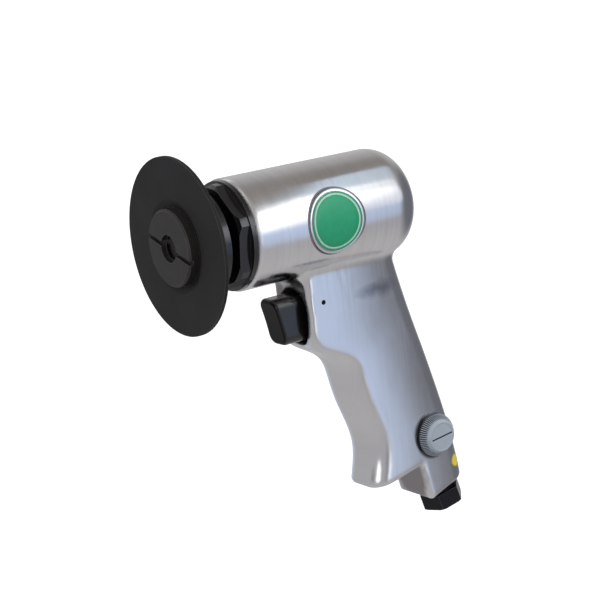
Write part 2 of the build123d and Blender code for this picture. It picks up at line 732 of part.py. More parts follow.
# Valve spring: coil behind the valve's head that closes the valve
spring_r = head_r - SPRING_WIRE / 2
spring_rise = (SPRING_LENGTH - SPRING_WIRE) / SPRING_TURNS
spring_path = coil_path(spring_r, spring_rise, 4 * SPRING_TURNS, spring_front_y + SPRING_WIRE / 2)
with BuildPart() as valve_spring:
    with BuildSketch(Plane(origin=spring_path.line @ 0, z_dir=spring_path.line % 0)):
        Circle(SPRING_WIRE / 2)
    sweep(path=spring_path.line)
print("gap between turns of the valve spring", round(spring_rise - SPRING_WIRE, 2))

# Regulator stem: plug with a cross port, a seal groove and a neck for the knob
neck_r = PLUG_NECK_DIA / 2
neck_x = clip_x - SEAT
seal_x = regulator_at[0] + passage_r + SEAL_WIRE
plug_seal_r = plug_r - SEAL_WIRE / 2
with BuildPart() as regulator_stem:
    add(ring(plug_end_x + SLIDING, neck_x, 0, plug_r, **plug_axis))
    add(ring(neck_x, knob_base_x + KNOB_HEIGHT / 2, 0, neck_r, **plug_axis))
    port_low = from_point(regulator_at, inlet_down, PLUG_DIA)
    port_high = from_point(regulator_at, inlet_up, PLUG_DIA)
    add(rod(port_low, port_high, PLUG_PORT_DIA / 2), mode=Mode.SUBTRACT)
    add(round_seal(seal_x, plug_seal_r, SEAL_WIRE + SEAT, **plug_axis), mode=Mode.SUBTRACT)
with BuildPart() as regulator_seal:
    add(round_seal(seal_x, plug_seal_r, SEAL_WIRE - SEAT, **plug_axis))

# Snap ring that keeps the plug in its bore
with BuildPart() as regulator_clip:
    add(
        ring(
            clip_x + SEAT,
            clip_x + CLIP_THICK - SEAT,
            neck_r + SLIDING,
            plug_r + CLIP_THICK - SEAT,
            **plug_axis,
        )
    )
    with BuildSketch(Plane.YZ.offset(clip_x)):
        with Locations((regulator_at[1], regulator_at[2])):
            Rectangle(CLIP_GAP, PLUG_DIA, align=(Align.CENTER, Align.MIN))
    extrude(amount=CLIP_THICK, mode=Mode.SUBTRACT)

# Regulator knob: thumb wheel with a ribbed skirt, a smooth cone and a pointer groove in its face
knob_r = KNOB_DIA / 2
knob_face_r = KNOB_FACE_DIA / 2
knob_face_x = knob_base_x + KNOB_HEIGHT
knob_face_at = from_point(regulator_at, (1, 0, 0), knob_face_x)
knob_face = Plane(origin=knob_face_at, x_dir=(0, 1, 0), z_dir=(1, 0, 0))
with BuildPart() as regulator_knob:
    add(
        turned(
            [
                (knob_base_x, 0),
                (knob_base_x, knob_r),
                (knob_base_x + KNOB_SKIRT, knob_r),
                (knob_base_x + KNOB_SKIRT, knob_r - KNOB_LEDGE),
                (knob_face_x, knob_face_r),
                (knob_face_x, 0),
            ],
            **plug_axis,
        )
    )
    fillet(regulator_knob.faces().sort_by(Axis.X)[-1].edges(), KNOB_FACE_EDGE)
    with BuildSketch(knob_face):
        Rectangle(KNOB_FACE_DIA, KNOB_GROOVE, rotation=KNOB_POINTER, align=(Align.MIN, Align.CENTER))
    extrude(amount=-KNOB_GROOVE, mode=Mode.SUBTRACT)
    with BuildSketch(knob_face.offset(KNOB_SKIRT - KNOB_HEIGHT)):
        with PolarLocations(knob_r, KNOB_RIBS):
            Circle(KNOB_RIB_CUT)
    extrude(amount=-KNOB_SKIRT, mode=Mode.SUBTRACT)
    knob_socket = ring(knob_base_x, knob_base_x + KNOB_HEIGHT / 2, 0, neck_r + SEAT, **plug_axis)
    add(knob_socket, mode=Mode.SUBTRACT)

# Inlet bushing: hexagonal fitting below a short neck, with a pipe thread for the air line
hex_start = INLET_NECK
hex_end = hex_start + INLET_HEX_LENGTH
hex_face = Plane(origin=from_point(inlet_at, inlet_down, hex_start), x_dir=(1, 0, 0), z_dir=inlet_down)
hex_corner_r = INLET_HEX_FLATS / math.sqrt(3)
with BuildPart() as inlet_bushing:
    with BuildSketch(hex_face):
        RegularPolygon(INLET_HEX_FLATS / 2, 6, major_radius=False, rotation=-INLET_HEX_TURN)
    extrude(amount=INLET_HEX_LENGTH)
    add(
        turned(
            [
                (hex_start, 0),
                (hex_start, hex_corner_r - INLET_HEX_BEVEL),
                (hex_start + INLET_HEX_BEVEL / 2, hex_corner_r),
                (hex_end - INLET_HEX_BEVEL / 2, hex_corner_r),
                (hex_end, hex_corner_r - INLET_HEX_BEVEL),
                (hex_end, 0),
            ],
            **inlet_axis,
        ),
        mode=Mode.INTERSECT,
    )
    add(ring(-INLET_SPIGOT_LENGTH, hex_start, 0, INLET_SPIGOT_DIA / 2, **inlet_axis))
    add(ring(-INLET_SPIGOT_LENGTH, hex_end, 0, passage_r, **inlet_axis), mode=Mode.SUBTRACT)
    thread_top = hex_end - INLET_THREAD_LENGTH
    add(ring(thread_top, hex_end, 0, INLET_THREAD_DIA / 2, **inlet_axis), mode=Mode.SUBTRACT)

# Wire screen held between the inlet bushing and the casting
screen_start = -INLET_SPIGOT_LENGTH - SCREEN_THICK
with BuildPart() as inlet_screen:
    add(ring(screen_start, -INLET_SPIGOT_LENGTH, 0, INLET_SPIGOT_DIA / 2, **inlet_axis))
    with BuildSketch(Plane(origin=screen_top, x_dir=(1, 0, 0), z_dir=inlet_down)):
        with GridLocations(SCREEN_MESH, SCREEN_MESH, SCREEN_HOLES, SCREEN_HOLES):
            Rectangle(SCREEN_MESH / 2, SCREEN_MESH / 2)
    extrude(amount=SCREEN_THICK, mode=Mode.SUBTRACT)

# Exhaust: slotted cover plate flush with the sole, and a felt pad over it
with BuildPart() as exhaust_cover:
    with BuildSketch(sole_plane):
        cover_size = (EXHAUST_WIDTH - 2 * SEAT, EXHAUST_LENGTH - 2 * SEAT)
        RectangleRounded(*cover_size, EXHAUST_EDGE)
        slot_pitch = EXHAUST_WIDTH / (EXHAUST_SLOTS + 1)
        with GridLocations(slot_pitch, 0, EXHAUST_SLOTS, 1):
            SlotOverall(EXHAUST_SLOT_LENGTH, slot_pitch / 2, rotation=90, mode=Mode.SUBTRACT)
    extrude(amount=-EXHAUST_COVER)
with BuildPart() as exhaust_felt:
    with BuildSketch(sole_plane.offset(-EXHAUST_COVER)):
        RectangleRounded(*cover_size, EXHAUST_EDGE)
    extrude(amount=-(EXHAUST_DEPTH - EXHAUST_COVER) / 2)

# Badge: thin round plate, wrapped on the barrel's side
badge_y = barrel_front_y + BADGE_SETBACK
badge_r = BADGE_DIA / 2
badge_rise = barrel_r * math.sin(badge_r / barrel_r)
with BuildPart() as badge:
    with BuildSketch(Plane.YZ):
        with Locations((badge_y, 0)):
            Ellipse(badge_r, badge_rise)
    extrude(amount=BARREL_DIA)
    badge_skin = ring(barrel_front_y, barrel_rear_y, barrel_r + SEAT, barrel_r + BADGE_THICK)
    add(badge_skin, mode=Mode.INTERSECT)

# Round label low on the rounded palm side
label_out = Vector(math.cos(math.radians(LABEL_TURN)), math.sin(math.radians(LABEL_TURN)), 0)
label_inside = grip_point(BOSS_CORNER[0] + LABEL_SETBACK, BOSS_CORNER[1] + LABEL_DROP)
label_ray = Axis(label_inside, label_out)
label_at = grip_blank.part.find_intersection_points(label_ray)[-1][0]
with BuildPart() as label_core:
    add(rod(tuple(label_at - label_out), tuple(label_at + label_out), LABEL_DIA / 2))
    add(housing.part, mode=Mode.INTERSECT)
label_patch = label_core.faces().sort_by(Axis(tuple(label_at), label_out))[-1]
with BuildPart() as dot_label:
    thicken(label_patch, amount=LABEL_THICK)

os.makedirs("parts", exist_ok=True)
pieces = {
    "housing": housing,
    "front_cap": front_cap,
    "spindle_seal": spindle_seal,
    "front_plate": front_plate,
    "cylinder": cylinder,
    "rear_plate": rear_plate,
    "motor_gasket": motor_gasket,
    "locating_pin": locating_pin,
    "rotor": rotor,
    "front_bearing_outer": front_outer,
    "front_bearing_inner": front_inner,
    "front_bearing_balls": front_balls,
    "rear_bearing_outer": rear_outer,
    "rear_bearing_inner": rear_inner,
    "rear_bearing_balls": rear_balls,
    "pad_flange": pad_flange,
    "backing_pad": backing_pad,
    "pad_nut": pad_nut,
    "trigger": trigger,
    "trigger_pin": trigger_pin,
    "valve_bushing": valve_bushing,
    "bushing_seal": bushing_seal,
    "valve_stem": valve_stem,
    "valve_seal": valve_seal,
    "valve_spring": valve_spring,
    "regulator_stem": regulator_stem,
    "regulator_seal": regulator_seal,
    "regulator_clip": regulator_clip,
    "regulator_knob": regulator_knob,
    "inlet_bushing": inlet_bushing,
    "inlet_screen": inlet_screen,
    "exhaust_cover": exhaust_cover,
    "exhaust_felt": exhaust_felt,
    "badge": badge,
    "dot_label": dot_label,
}
for number, vane in enumerate(vanes, start=1):
    pieces[f"vane_{number}"] = vane
for name, piece in pieces.items():
    piece.part.label = name
    export_step(piece.part, f"parts/{name}.step")
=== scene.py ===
# %% [markdown]
# # An air disc sander in the studio
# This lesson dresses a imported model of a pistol-grip air sander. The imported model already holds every
# solid in its true place, in metres, so the work here is light, finish and the fine detail that a
# maker adds last: the enamelled badge, the ribs of the speed knob, the label, the inlet's thread and the
# grain of the casting.

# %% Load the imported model
import math

import bmesh
import bpy
from mathutils import Matrix, Vector
from mathutils.bvhtree import BVHTree


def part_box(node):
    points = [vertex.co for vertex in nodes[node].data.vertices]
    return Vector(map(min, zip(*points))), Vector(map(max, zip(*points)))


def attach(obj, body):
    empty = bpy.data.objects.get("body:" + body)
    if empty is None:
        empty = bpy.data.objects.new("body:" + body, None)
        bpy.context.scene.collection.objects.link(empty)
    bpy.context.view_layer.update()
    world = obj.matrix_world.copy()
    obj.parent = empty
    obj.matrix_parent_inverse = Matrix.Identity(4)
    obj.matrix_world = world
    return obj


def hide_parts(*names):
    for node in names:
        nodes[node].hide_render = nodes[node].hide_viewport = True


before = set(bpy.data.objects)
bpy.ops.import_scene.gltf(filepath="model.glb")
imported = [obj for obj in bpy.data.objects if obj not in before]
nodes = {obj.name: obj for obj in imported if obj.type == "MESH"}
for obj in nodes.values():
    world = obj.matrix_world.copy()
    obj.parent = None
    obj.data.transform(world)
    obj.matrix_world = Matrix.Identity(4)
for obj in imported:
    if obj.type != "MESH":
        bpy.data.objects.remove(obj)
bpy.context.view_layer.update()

MM = 0.001

# %% [markdown]
# ## Camera
# A product photographer stands back with a long lens, so that the near disc does not swell. The camera
# could be aimed with a constraint, but here its three axes are worked out from the azimuth, the
# elevation and a small tilt, and written into its matrix. That keeps the framing exact.

# %% Camera
AZIMUTH, ELEVATION, TILT = (math.radians(v) for v in (56.79, 12.31, -6.49))
DISTANCE = 733.4 * MM
ASIDE, ABOVE = -50.69 * MM, 21.47 * MM
LENS, SENSOR_WIDE, NEAREST = 108.0, 36.0, 0.01

towards_camera = Vector(
    (math.sin(AZIMUTH) * math.cos(ELEVATION), -math.cos(AZIMUTH) * math.cos(ELEVATION), math.sin(ELEVATION))
)
level_right = Vector((math.cos(AZIMUTH), math.sin(AZIMUTH), 0))
level_up = towards_camera.cross(level_right)
right = level_right * math.cos(TILT) + level_up * math.sin(TILT)
up = level_up * math.cos(TILT) - level_right * math.sin(TILT)

camera_data = bpy.data.cameras.new("studio_camera")
camera_data.lens = LENS
camera_data.sensor_width = SENSOR_WIDE
camera_data.clip_start = NEAREST
camera = bpy.data.objects.new("studio_camera", camera_data)
camera_place = towards_camera * DISTANCE - right * ASIDE - up * ABOVE
camera_axes = Matrix((right, up, towards_camera)).transposed().to_4x4()
camera.matrix_world = Matrix.Translation(camera_place) @ camera_axes
scene = bpy.context.scene
scene.collection.objects.link(camera)
scene.camera = camera
print("camera at", [round(v, 3) for v in camera_place])

# %% [markdown]
# ## Floor and light
# Polished metal shows the room more than itself, so the room is drawn first. A pale floor lies well
# below the tool, and is kept out of the reflections, as a photographer does with black card. A strip
# light hangs close over the tool's left shoulder, turned a little, which draws the slanting white band
# along the barrel. It is bright in front, bluer and dimmer behind, and it fades towards its lower edge,
# so that the band has a sharp top and a soft foot. A weak copy lights the far side. The rest is a soft
# room of broad tones that melt into each other.

# %% Floor
scene.view_settings.view_transform = "Standard"
FLOOR_HEIGHT, FLOOR_REACH = -0.34, 60.0
SQUARE = ((-1, -1), (1, -1), (1, 1), (-1, 1))
floor_mesh = bpy.data.meshes.new("studio_floor")
floor_corners = [(x * FLOOR_REACH, y * FLOOR_REACH, FLOOR_HEIGHT) for x, y in SQUARE]
floor_mesh.from_pydata(floor_corners, [], [(0, 1, 2, 3)])
floor = bpy.data.objects.new("studio_floor", floor_mesh)
floor.visible_glossy = False
floor.visible_diffuse = False
scene.collection.objects.link(floor)


# %% Soft boxes
def heading_of(azimuth, elevation):
    """A direction from the tool: azimuth turns from +X towards +Y."""
    turn, lift = math.radians(azimuth), math.radians(elevation)
    return Vector((math.cos(turn) * math.cos(lift), math.sin(turn) * math.cos(lift), math.sin(lift)))


def soft_box(name, aim, heading, distance, size, brightness, colour, turn=0.0):
    """A soft box seen from a point, of a brightness where 1 is white in a mirror."""
    light = bpy.data.lights.new(name, "AREA")
    light.shape = "RECTANGLE"
    light.size, light.size_y = size
    light.energy = brightness * math.pi * size[0] * size[1]
    light.color = colour
    box = bpy.data.objects.new(name, light)
    facing = (-heading).to_track_quat("-Z", "Y")
    hung = Matrix.LocRotScale(Vector(aim) + heading * distance, facing, (1, 1, 1))
    box.matrix_world = hung @ Matrix.Rotation(turn, 4, "Z")
    box.visible_camera = False
    scene.collection.objects.link(box)
    return box


def fading(light):
    """Lets a light fade from its upper to its lower edge, as a hanging cloth does."""
    light.use_nodes = True
    lamp = light.node_tree
    place = lamp.nodes.new("ShaderNodeNewGeometry")
    across = lamp.nodes.new("ShaderNodeSeparateXYZ")
    lamp.links.new(place.outputs["Parametric"], across.inputs[0])
    share = lamp.nodes.new("ShaderNodeMapRange")
    share.interpolation_type = "SMOOTHSTEP"
    lamp.links.new(across.outputs["Y"], share.inputs["Value"])
    lamp.links.new(share.outputs["Result"], lamp.nodes["Emission"].inputs["Strength"])


BARREL_SHOULDER, FAR_SHOULDER = Vector((0.020, 0.060, 0.010)), Vector((-0.020, 0.060, 0.010))
STRIP_AWAY, STRIP_TURN = 0.20, math.radians(42)
STRIP_WIDE, STRIP_DROP = 0.115, 0.020
# Name, shift along the strip, length, brightness, colour
STRIP_PARTS = (
    ("front", -0.080, 0.17, 2.0, (0.96, 0.98, 1.0)),
    ("middle", 0.027, 0.044, 1.3, (0.90, 0.95, 1.0)),
    ("rear", 0.104, 0.11, 0.68, (0.60, 0.79, 1.0)),
)
# Aim, azimuth, elevation, turn, share of the brightness
STRIPS = ((BARREL_SHOULDER, 40, 30, STRIP_TURN, 1.0), (FAR_SHOULDER, 215, 40, -STRIP_TURN, 0.3))
for shoulder, azimuth, elevation, turn, power in STRIPS:
    heading = heading_of(azimuth, elevation)
    level = Vector((-heading.y, heading.x, 0)).normalized()
    along = level * math.cos(turn) + heading.cross(level) * math.sin(turn)
    for part, shift, length, brightness, colour in STRIP_PARTS:
        name, size = f"strip_{part}_{azimuth}", (length, STRIP_WIDE)
        middle = shoulder + along * shift - heading.cross(along) * STRIP_DROP
        strip = soft_box(name, middle, heading, STRIP_AWAY, size, brightness * power, colour, turn)
        fading(strip.data)

FRONT_HEADING, FRONT_AWAY, FRONT_SIZE = heading_of(-95, 52), 1.2, (0.6, 0.6)
FRONT_POWER, FRONT_COLOUR = 0.40, (1.0, 0.97, 0.94)
soft_box("front_box", (0, 0, 0), FRONT_HEADING, FRONT_AWAY, FRONT_SIZE, FRONT_POWER, FRONT_COLOUR)

# %% [markdown]
# ## Room
# The room could be a photograph of a studio, but a few tones are easier to steer. Four of them run from
# the floor to the ceiling, and broad spots are laid over them. Each spot sits where one part of the tool
# mirrors it: cool beside the grip, dark behind it, brown overhead.

# %% Room from floor to ceiling
MIX_UNDER, MIX_OVER, MIX_RESULT = 6, 7, 2
world = bpy.data.worlds.new("studio_room")
world.use_nodes = True
scene.world = world
room = world.node_tree
room.nodes.clear()
looking = room.nodes.new("ShaderNodeTexCoord").outputs["Generated"]
split = room.nodes.new("ShaderNodeSeparateXYZ")
room.links.new(looking, split.inputs[0])
height = room.nodes.new("ShaderNodeMapRange")
height.inputs["From Min"].default_value = -1
room.links.new(split.outputs["Z"], height.inputs["Value"])
tones = room.nodes.new("ShaderNodeValToRGB")
ROOM_TONES = (
    (0.0, (0.50, 0.49, 0.49)),
    (0.35, (0.43, 0.42, 0.44)),
    (0.60, (0.45, 0.445, 0.45)),
    (0.85, (0.40, 0.385, 0.38)),
)
while len(tones.color_ramp.elements) < len(ROOM_TONES):
    tones.color_ramp.elements.new(0.5)
for element, (position, colour) in zip(tones.color_ramp.elements, ROOM_TONES):
    element.position = position
    element.color = (*colour, 1)
room.links.new(height.outputs["Result"], tones.inputs["Fac"])
print("room tones:", len(ROOM_TONES))


# %% Spots in the room
def melted(under, heading, core, reach, colour):
    """A broad tone of the room: full within core degrees of a heading, gone at reach degrees."""
    near = room.nodes.new("ShaderNodeVectorMath")
    near.operation = "DOT_PRODUCT"
    near.inputs[1].default_value = heading
    room.links.new(looking, near.inputs[0])
    share = room.nodes.new("ShaderNodeMapRange")
    share.interpolation_type = "SMOOTHSTEP"
    share.inputs["From Min"].default_value = math.cos(math.radians(reach))
    share.inputs["From Max"].default_value = math.cos(math.radians(core))
    room.links.new(near.outputs["Value"], share.inputs["Value"])
    blend = room.nodes.new("ShaderNodeMix")
    blend.data_type = "RGBA"
    room.links.new(share.outputs["Result"], blend.inputs["Factor"])
    room.links.new(under, blend.inputs[MIX_UNDER])
    blend.inputs[MIX_OVER].default_value = (*colour, 1)
    return blend.outputs[MIX_RESULT]


# Azimuth, elevation, core, reach and colour, with the part of the tool that mirrors it
ROOM_SPOTS = (
    (85, 60, 6, 36, (0.26, 0.24, 0.225)),  # top of the barrel
    (148, 2, 0, 40, (0.52, 0.51, 0.52)),  # palm side
    (175, -8, 4, 30, (0.55, 0.60, 0.72)),  # palm side, where it faces back
    (29, -6, 6, 25, (0.57, 0.67, 0.88)),  # flat side of the grip
    (80, -5, 22, 48, (0.16, 0.165, 0.19)),  # where that side turns into the palm
    (38, 15, 4, 20, (0.88, 0.90, 0.98)),  # side of the barrel
    (-6, -8, 3, 20, (0.30, 0.31, 0.36)),  # edge between the flat side and the front
    (9, -9, 3, 13, (1.10, 1.13, 1.22)),  # light line along that edge
    (-60, 8, 3, 19, (1.9, 1.9, 1.95)),  # flare at the foot of the front
    (-98, 14, 4, 17, (0.16, 0.16, 0.18)),  # dark beside the flare
)
room_tone = tones.outputs["Color"]
for azimuth, elevation, core, reach, colour in ROOM_SPOTS:
    room_tone = melted(room_tone, heading_of(azimuth, elevation), core, reach, colour)
print("room spots:", len(ROOM_SPOTS))

# %% Room shown white to the camera, and lighter from above for dull faces
LIT_BELOW, LIT_ABOVE = (0.22, 0.22, 0.225, 1), (1.15, 1.15, 1.15, 1)
which_ray = room.nodes.new("ShaderNodeLightPath")
from_above = room.nodes.new("ShaderNodeValToRGB")
from_above.color_ramp.elements[0].color = LIT_BELOW
from_above.color_ramp.elements[1].color = LIT_ABOVE
room.links.new(height.outputs["Result"], from_above.inputs["Fac"])
lit_or_mirrored = room.nodes.new("ShaderNodeMix")
lit_or_mirrored.data_type = "RGBA"
room.links.new(which_ray.outputs["Is Diffuse Ray"], lit_or_mirrored.inputs["Factor"])
room.links.new(room_tone, lit_or_mirrored.inputs[MIX_UNDER])
room.links.new(from_above.outputs["Color"], lit_or_mirrored.inputs[MIX_OVER])
dim_wall = room.nodes.new("ShaderNodeBackground")
room.links.new(lit_or_mirrored.outputs[MIX_RESULT], dim_wall.inputs["Color"])
plain_wall = room.nodes.new("ShaderNodeBackground")
plain_wall.inputs["Color"].default_value = (1, 1, 1, 1)
seen_or_lit = room.nodes.new("ShaderNodeMixShader")
room.links.new(which_ray.outputs["Is Camera Ray"], seen_or_lit.inputs["Fac"])
room.links.new(dim_wall.outputs[0], seen_or_lit.inputs[1])
room.links.new(plain_wall.outputs[0], seen_or_lit.inputs[2])
room_out = room.nodes.new("ShaderNodeOutputWorld")
room.links.new(seen_or_lit.outputs[0], room_out.inputs["Surface"])
print("room nodes:", len(room.nodes))

# %% [markdown]
# ## How a finish is written
# A finish is a small tree of nodes. Noise in the object's own coordinates gives the grain, a mix of two
# colours gives the tone, a range gives the roughness and a bump gives the tooth. A few short helpers
# keep each finish to some lines, and the constant values are set on the shader itself.


# %% Helpers for nodes
def shader_of(material):
    return material.node_tree.nodes["Principled BSDF"]


def new_finish(name, **sockets):
    """A material with its constant values set on the shader."""
    material = bpy.data.materials.new(name)
    material.use_nodes = True
    for socket, value in sockets.items():
        shader_of(material).inputs[socket.replace("_", " ")].default_value = value
    return material


def put(material, kind, links=(), **inputs):
    """A node with its inputs set or linked."""
    node = material.node_tree.nodes.new(kind)
    for name, value in inputs.items():
        node.inputs[name.replace("_", " ")].default_value = value
    for output, socket in links:
        material.node_tree.links.new(output, node.inputs[socket])
    return node


def drive(material, socket, output):
    material.node_tree.links.new(output, shader_of(material).inputs[socket])


def driven_by(material, socket):
    return shader_of(material).inputs[socket].links[0].from_socket


def dressed(material, *names):
    """Puts a finish on CAD nodes or new pieces."""
    for name in names:
        piece = nodes[name] if isinstance(name, str) else name
        piece.data.materials.clear()
        piece.data.materials.append(material)
    print(material.name, "on", ", ".join(n if isinstance(n, str) else n.name for n in names))


# %% Helpers for tones and grain
def grain(material, scale, stretch=(1, 1, 1), detail=4.0, roughness=0.55):
    """Noise in the object's coordinates; scale counts features in a metre."""
    place = put(material, "ShaderNodeTexCoord")
    mapping = put(material, "ShaderNodeMapping", [(place.outputs["Object"], "Vector")], Scale=stretch)
    links = [(mapping.outputs["Vector"], "Vector")]
    noise = put(material, "ShaderNodeTexNoise", links, Scale=scale, Detail=detail, Roughness=roughness)
    return noise.outputs["Fac"]


def mixed(material, share, dark, light):
    """A colour between two, by a share from 0 to 1. Either colour may be a node's output."""
    blend = material.node_tree.nodes.new("ShaderNodeMix")
    blend.data_type = "RGBA"
    material.node_tree.links.new(share, blend.inputs["Factor"])
    for socket, colour in ((blend.inputs[MIX_UNDER], dark), (blend.inputs[MIX_OVER], light)):
        if isinstance(colour, tuple):
            socket.default_value = (*colour, 1)
        else:
            material.node_tree.links.new(colour, socket)
    return blend.outputs[MIX_RESULT]


def ranged(material, value, low, high, start=0.3, end=0.7):
    """A value stretched from start..end to low..high."""
    links = [(value, "Value")]
    spread = put(material, "ShaderNodeMapRange", links, From_Min=start, From_Max=end, To_Min=low, To_Max=high)
    return spread.outputs["Result"]


def tooth(material, height, strength, depth):
    """A bump, added to the one that the shader already has."""
    links = [(height, "Height")]
    if shader_of(material).inputs["Normal"].is_linked:
        links.append((driven_by(material, "Normal"), "Normal"))
    bump = put(material, "ShaderNodeBump", links, Strength=strength, Distance=depth)
    drive(material, "Normal", bump.outputs["Normal"])


# %% Helpers for wear
EDGE_SAMPLES, CORNER_SAMPLES = 4, 8
WANDER_GRAIN = 170


def coordinate(material, space, axis):
    """One coordinate of a point of the object, or of its normal."""
    place = put(material, "ShaderNodeTexCoord")
    parts = put(material, "ShaderNodeSeparateXYZ", [(place.outputs[space], "Vector")])
    return parts.outputs[axis]


def worn_edge(material, radius, sharpness=6.0):
    """A mask that is 1 along edges, from the difference between the true and a rounded normal."""
    rounded = put(material, "ShaderNodeBevel", Radius=radius)
    rounded.samples = EDGE_SAMPLES
    surface = put(material, "ShaderNodeNewGeometry")
    normals = [(rounded.outputs["Normal"], 0), (surface.outputs["Normal"], 1)]
    agree = put(material, "ShaderNodeVectorMath", normals)
    agree.operation = "DOT_PRODUCT"
    return ranged(material, agree.outputs["Value"], 1.0, 0.0, 1 - 1 / sharpness, 1.0)


def openness(material, distance):
    """A share that is 1 on open faces and falls towards 0 in corners; it paints shade there, and keeps them
    rough.
    """
    corner = put(material, "ShaderNodeAmbientOcclusion", Distance=distance)
    corner.samples = CORNER_SAMPLES
    return corner.outputs["AO"]


def smear(material, middle, reach, core=0.25, wander=0.006):
    """A soft oval spot, 1 in its middle, at a place of the object. Its outline wanders."""
    place = put(material, "ShaderNodeTexCoord").outputs["Object"]
    noise = put(material, "ShaderNodeTexNoise", [(place, "Vector")], Scale=WANDER_GRAIN, Detail=3.0)
    shift = put(material, "ShaderNodeVectorMath", [(noise.outputs["Color"], 0), (place, 2)])
    shift.operation = "MULTIPLY_ADD"
    shift.inputs[1].default_value = (wander, wander, wander)
    middle = [at + wander / 2 for at in middle]
    links = [(shift.outputs["Vector"], "Vector")]
    spot = put(material, "ShaderNodeMapping", links, Location=middle, Scale=reach)
    spot.vector_type = "TEXTURE"
    away = put(material, "ShaderNodeVectorMath", [(spot.outputs["Vector"], 0)])
    away.operation = "LENGTH"
    return ranged(material, away.outputs["Value"], 1.0, 0.0, core, 1.0)


# %% [markdown]
# ## Cast aluminium
# The housing is sand cast, then belt-ground and buffed. The belt leaves fine lines round the barrel and
# down the grip, and the buff a faint cloudiness. The lines come from noise that changes fast along the
# barrel and slowly across it. They move the tone and the roughness more than the height, because deep
# lines would look like a rough-sawn board at this scale, and they are weaker on the grip.

# %% Cast aluminium: lines and cloud
CLOUD_GRAIN, BUFF_GRAIN, STREAK_GRAIN, BELT_GRAIN = 28, 40, 520, 1400
STREAK_STRETCH, BELT_STRETCH = (0.05, 1.0, 0.05), (0.03, 1.0, 0.03)
GRIP_HEIGHT, BARREL_HEIGHT, GRIP_SHARE = -0.045, -0.025, 0.35
NO_STREAK = (0.5, 0.5, 0.5)
cast_aluminium = new_finish("cast_aluminium", Metallic=1.0)
cloud = grain(cast_aluminium, CLOUD_GRAIN, detail=3.0)
buffed = grain(cast_aluminium, BUFF_GRAIN, detail=2.0)
belt_lines = grain(cast_aluminium, BELT_GRAIN, BELT_STRETCH, detail=4.0)
upward = coordinate(cast_aluminium, "Object", "Z")
on_barrel = ranged(cast_aluminium, upward, GRIP_SHARE, 1.0, GRIP_HEIGHT, BARREL_HEIGHT)
streak_noise = grain(cast_aluminium, STREAK_GRAIN, STREAK_STRETCH, detail=5.0, roughness=0.7)
streaks = mixed(cast_aluminium, on_barrel, NO_STREAK, ranged(cast_aluminium, streak_noise, low=0.0, high=1.0))
dark_streak = mixed(cast_aluminium, cloud, (0.72, 0.715, 0.72), (0.83, 0.83, 0.835))
bright_streak = mixed(cast_aluminium, cloud, (0.80, 0.80, 0.805), (0.92, 0.92, 0.925))
aluminium_tone = mixed(cast_aluminium, streaks, dark_streak, bright_streak)
print("aluminium nodes:", len(cast_aluminium.node_tree.nodes))

# %% [markdown]
# ### Painted shade on the casting
# The metal is painted darker where shade and dark reflections fall: a dark reflection high on the grip's
# side, shade on the front of the inlet boss and on the wall of the trigger's slot. A painted shadow rings
# the foot of the speed knob. Painted shade darkens the corners, which are found by how open each face is.

# %% Cast aluminium: painted shade
# Painted shade and a painted dark reflection, laid into the metal's colour
# Middle, reach, size of the full core and tone
PAINTED_SHADE_SPOTS = (
    ((0.014, 0.0895, -0.0350), (0.0120, 0.0135, 0.0046), 0.25, (0.42, 0.43, 0.46)),
    ((0.0, 0.1050, -0.1270), (0.0127, 0.0085, 0.0220), 0.70, (0.33, 0.31, 0.315)),
    ((-0.0110, 0.0530, -0.0300), (0.0090, 0.0110, 0.0130), 0.50, (0.30, 0.28, 0.265)),
)
# Each spot paints shade or a dark reflection over the metal's tone
for middle, reach, core, colour in PAINTED_SHADE_SPOTS:
    shade_spot = smear(cast_aluminium, middle, reach, core)
    aluminium_tone = mixed(cast_aluminium, shade_spot, aluminium_tone, colour)

# A painted shadow rings the foot of the speed knob, dropped a little so that it is widest underneath
KNOB_SHADOW_WIDE, KNOB_SHADOW_DROP, KNOB_SHADOW_DEEP, KNOB_SHADOW_CORE = 0.0019, 0.0006, 0.008, 0.88
KNOB_SHADOW_TONE, CORNER_SHADE_TONE = (0.07, 0.07, 0.08), (0.24, 0.23, 0.225)
CORNER_SHADE_REACH, CORNER_SHADE_IN, CORNER_SHADE_OUT = 0.008, 0.22, 0.72
knob_low, knob_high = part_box("regulator_knob")
knob_place = Vector((knob_low.x, (knob_low.y + knob_high.y) / 2, (knob_low.z + knob_high.z) / 2))
knob_shadow_middle = knob_place - Vector((0, 0, KNOB_SHADOW_DROP))
knob_shadow_radius = (knob_high.z - knob_low.z) / 2 + KNOB_SHADOW_WIDE
knob_shadow_reach = (KNOB_SHADOW_DEEP, knob_shadow_radius, knob_shadow_radius)
knob_shadow = smear(cast_aluminium, knob_shadow_middle, knob_shadow_reach, KNOB_SHADOW_CORE, wander=0.0)
knob_shadowed_tone = mixed(cast_aluminium, knob_shadow, aluminium_tone, KNOB_SHADOW_TONE)
# Painted shade in the corners and creases, from how open each face is
corner = openness(cast_aluminium, CORNER_SHADE_REACH)
open_share = ranged(cast_aluminium, corner, 0.0, 1.0, CORNER_SHADE_IN, CORNER_SHADE_OUT)
drive(cast_aluminium, "Base Color", mixed(cast_aluminium, open_share, CORNER_SHADE_TONE, knob_shadowed_tone))
print("shade_spots:", len(PAINTED_SHADE_SPOTS), "and a ring of", round(knob_shadow_radius / MM, 1), "mm round the knob")

# %% [markdown]
# ### Polish and edges of the casting
# The belt lines and the cloud make the polish uneven, and sheltered corners stay as rough as cast. Buffing
# rolls every edge over, which a rounded normal shows without new faces. The drilled mouth of the
# trigger's pin hole stays crisp.

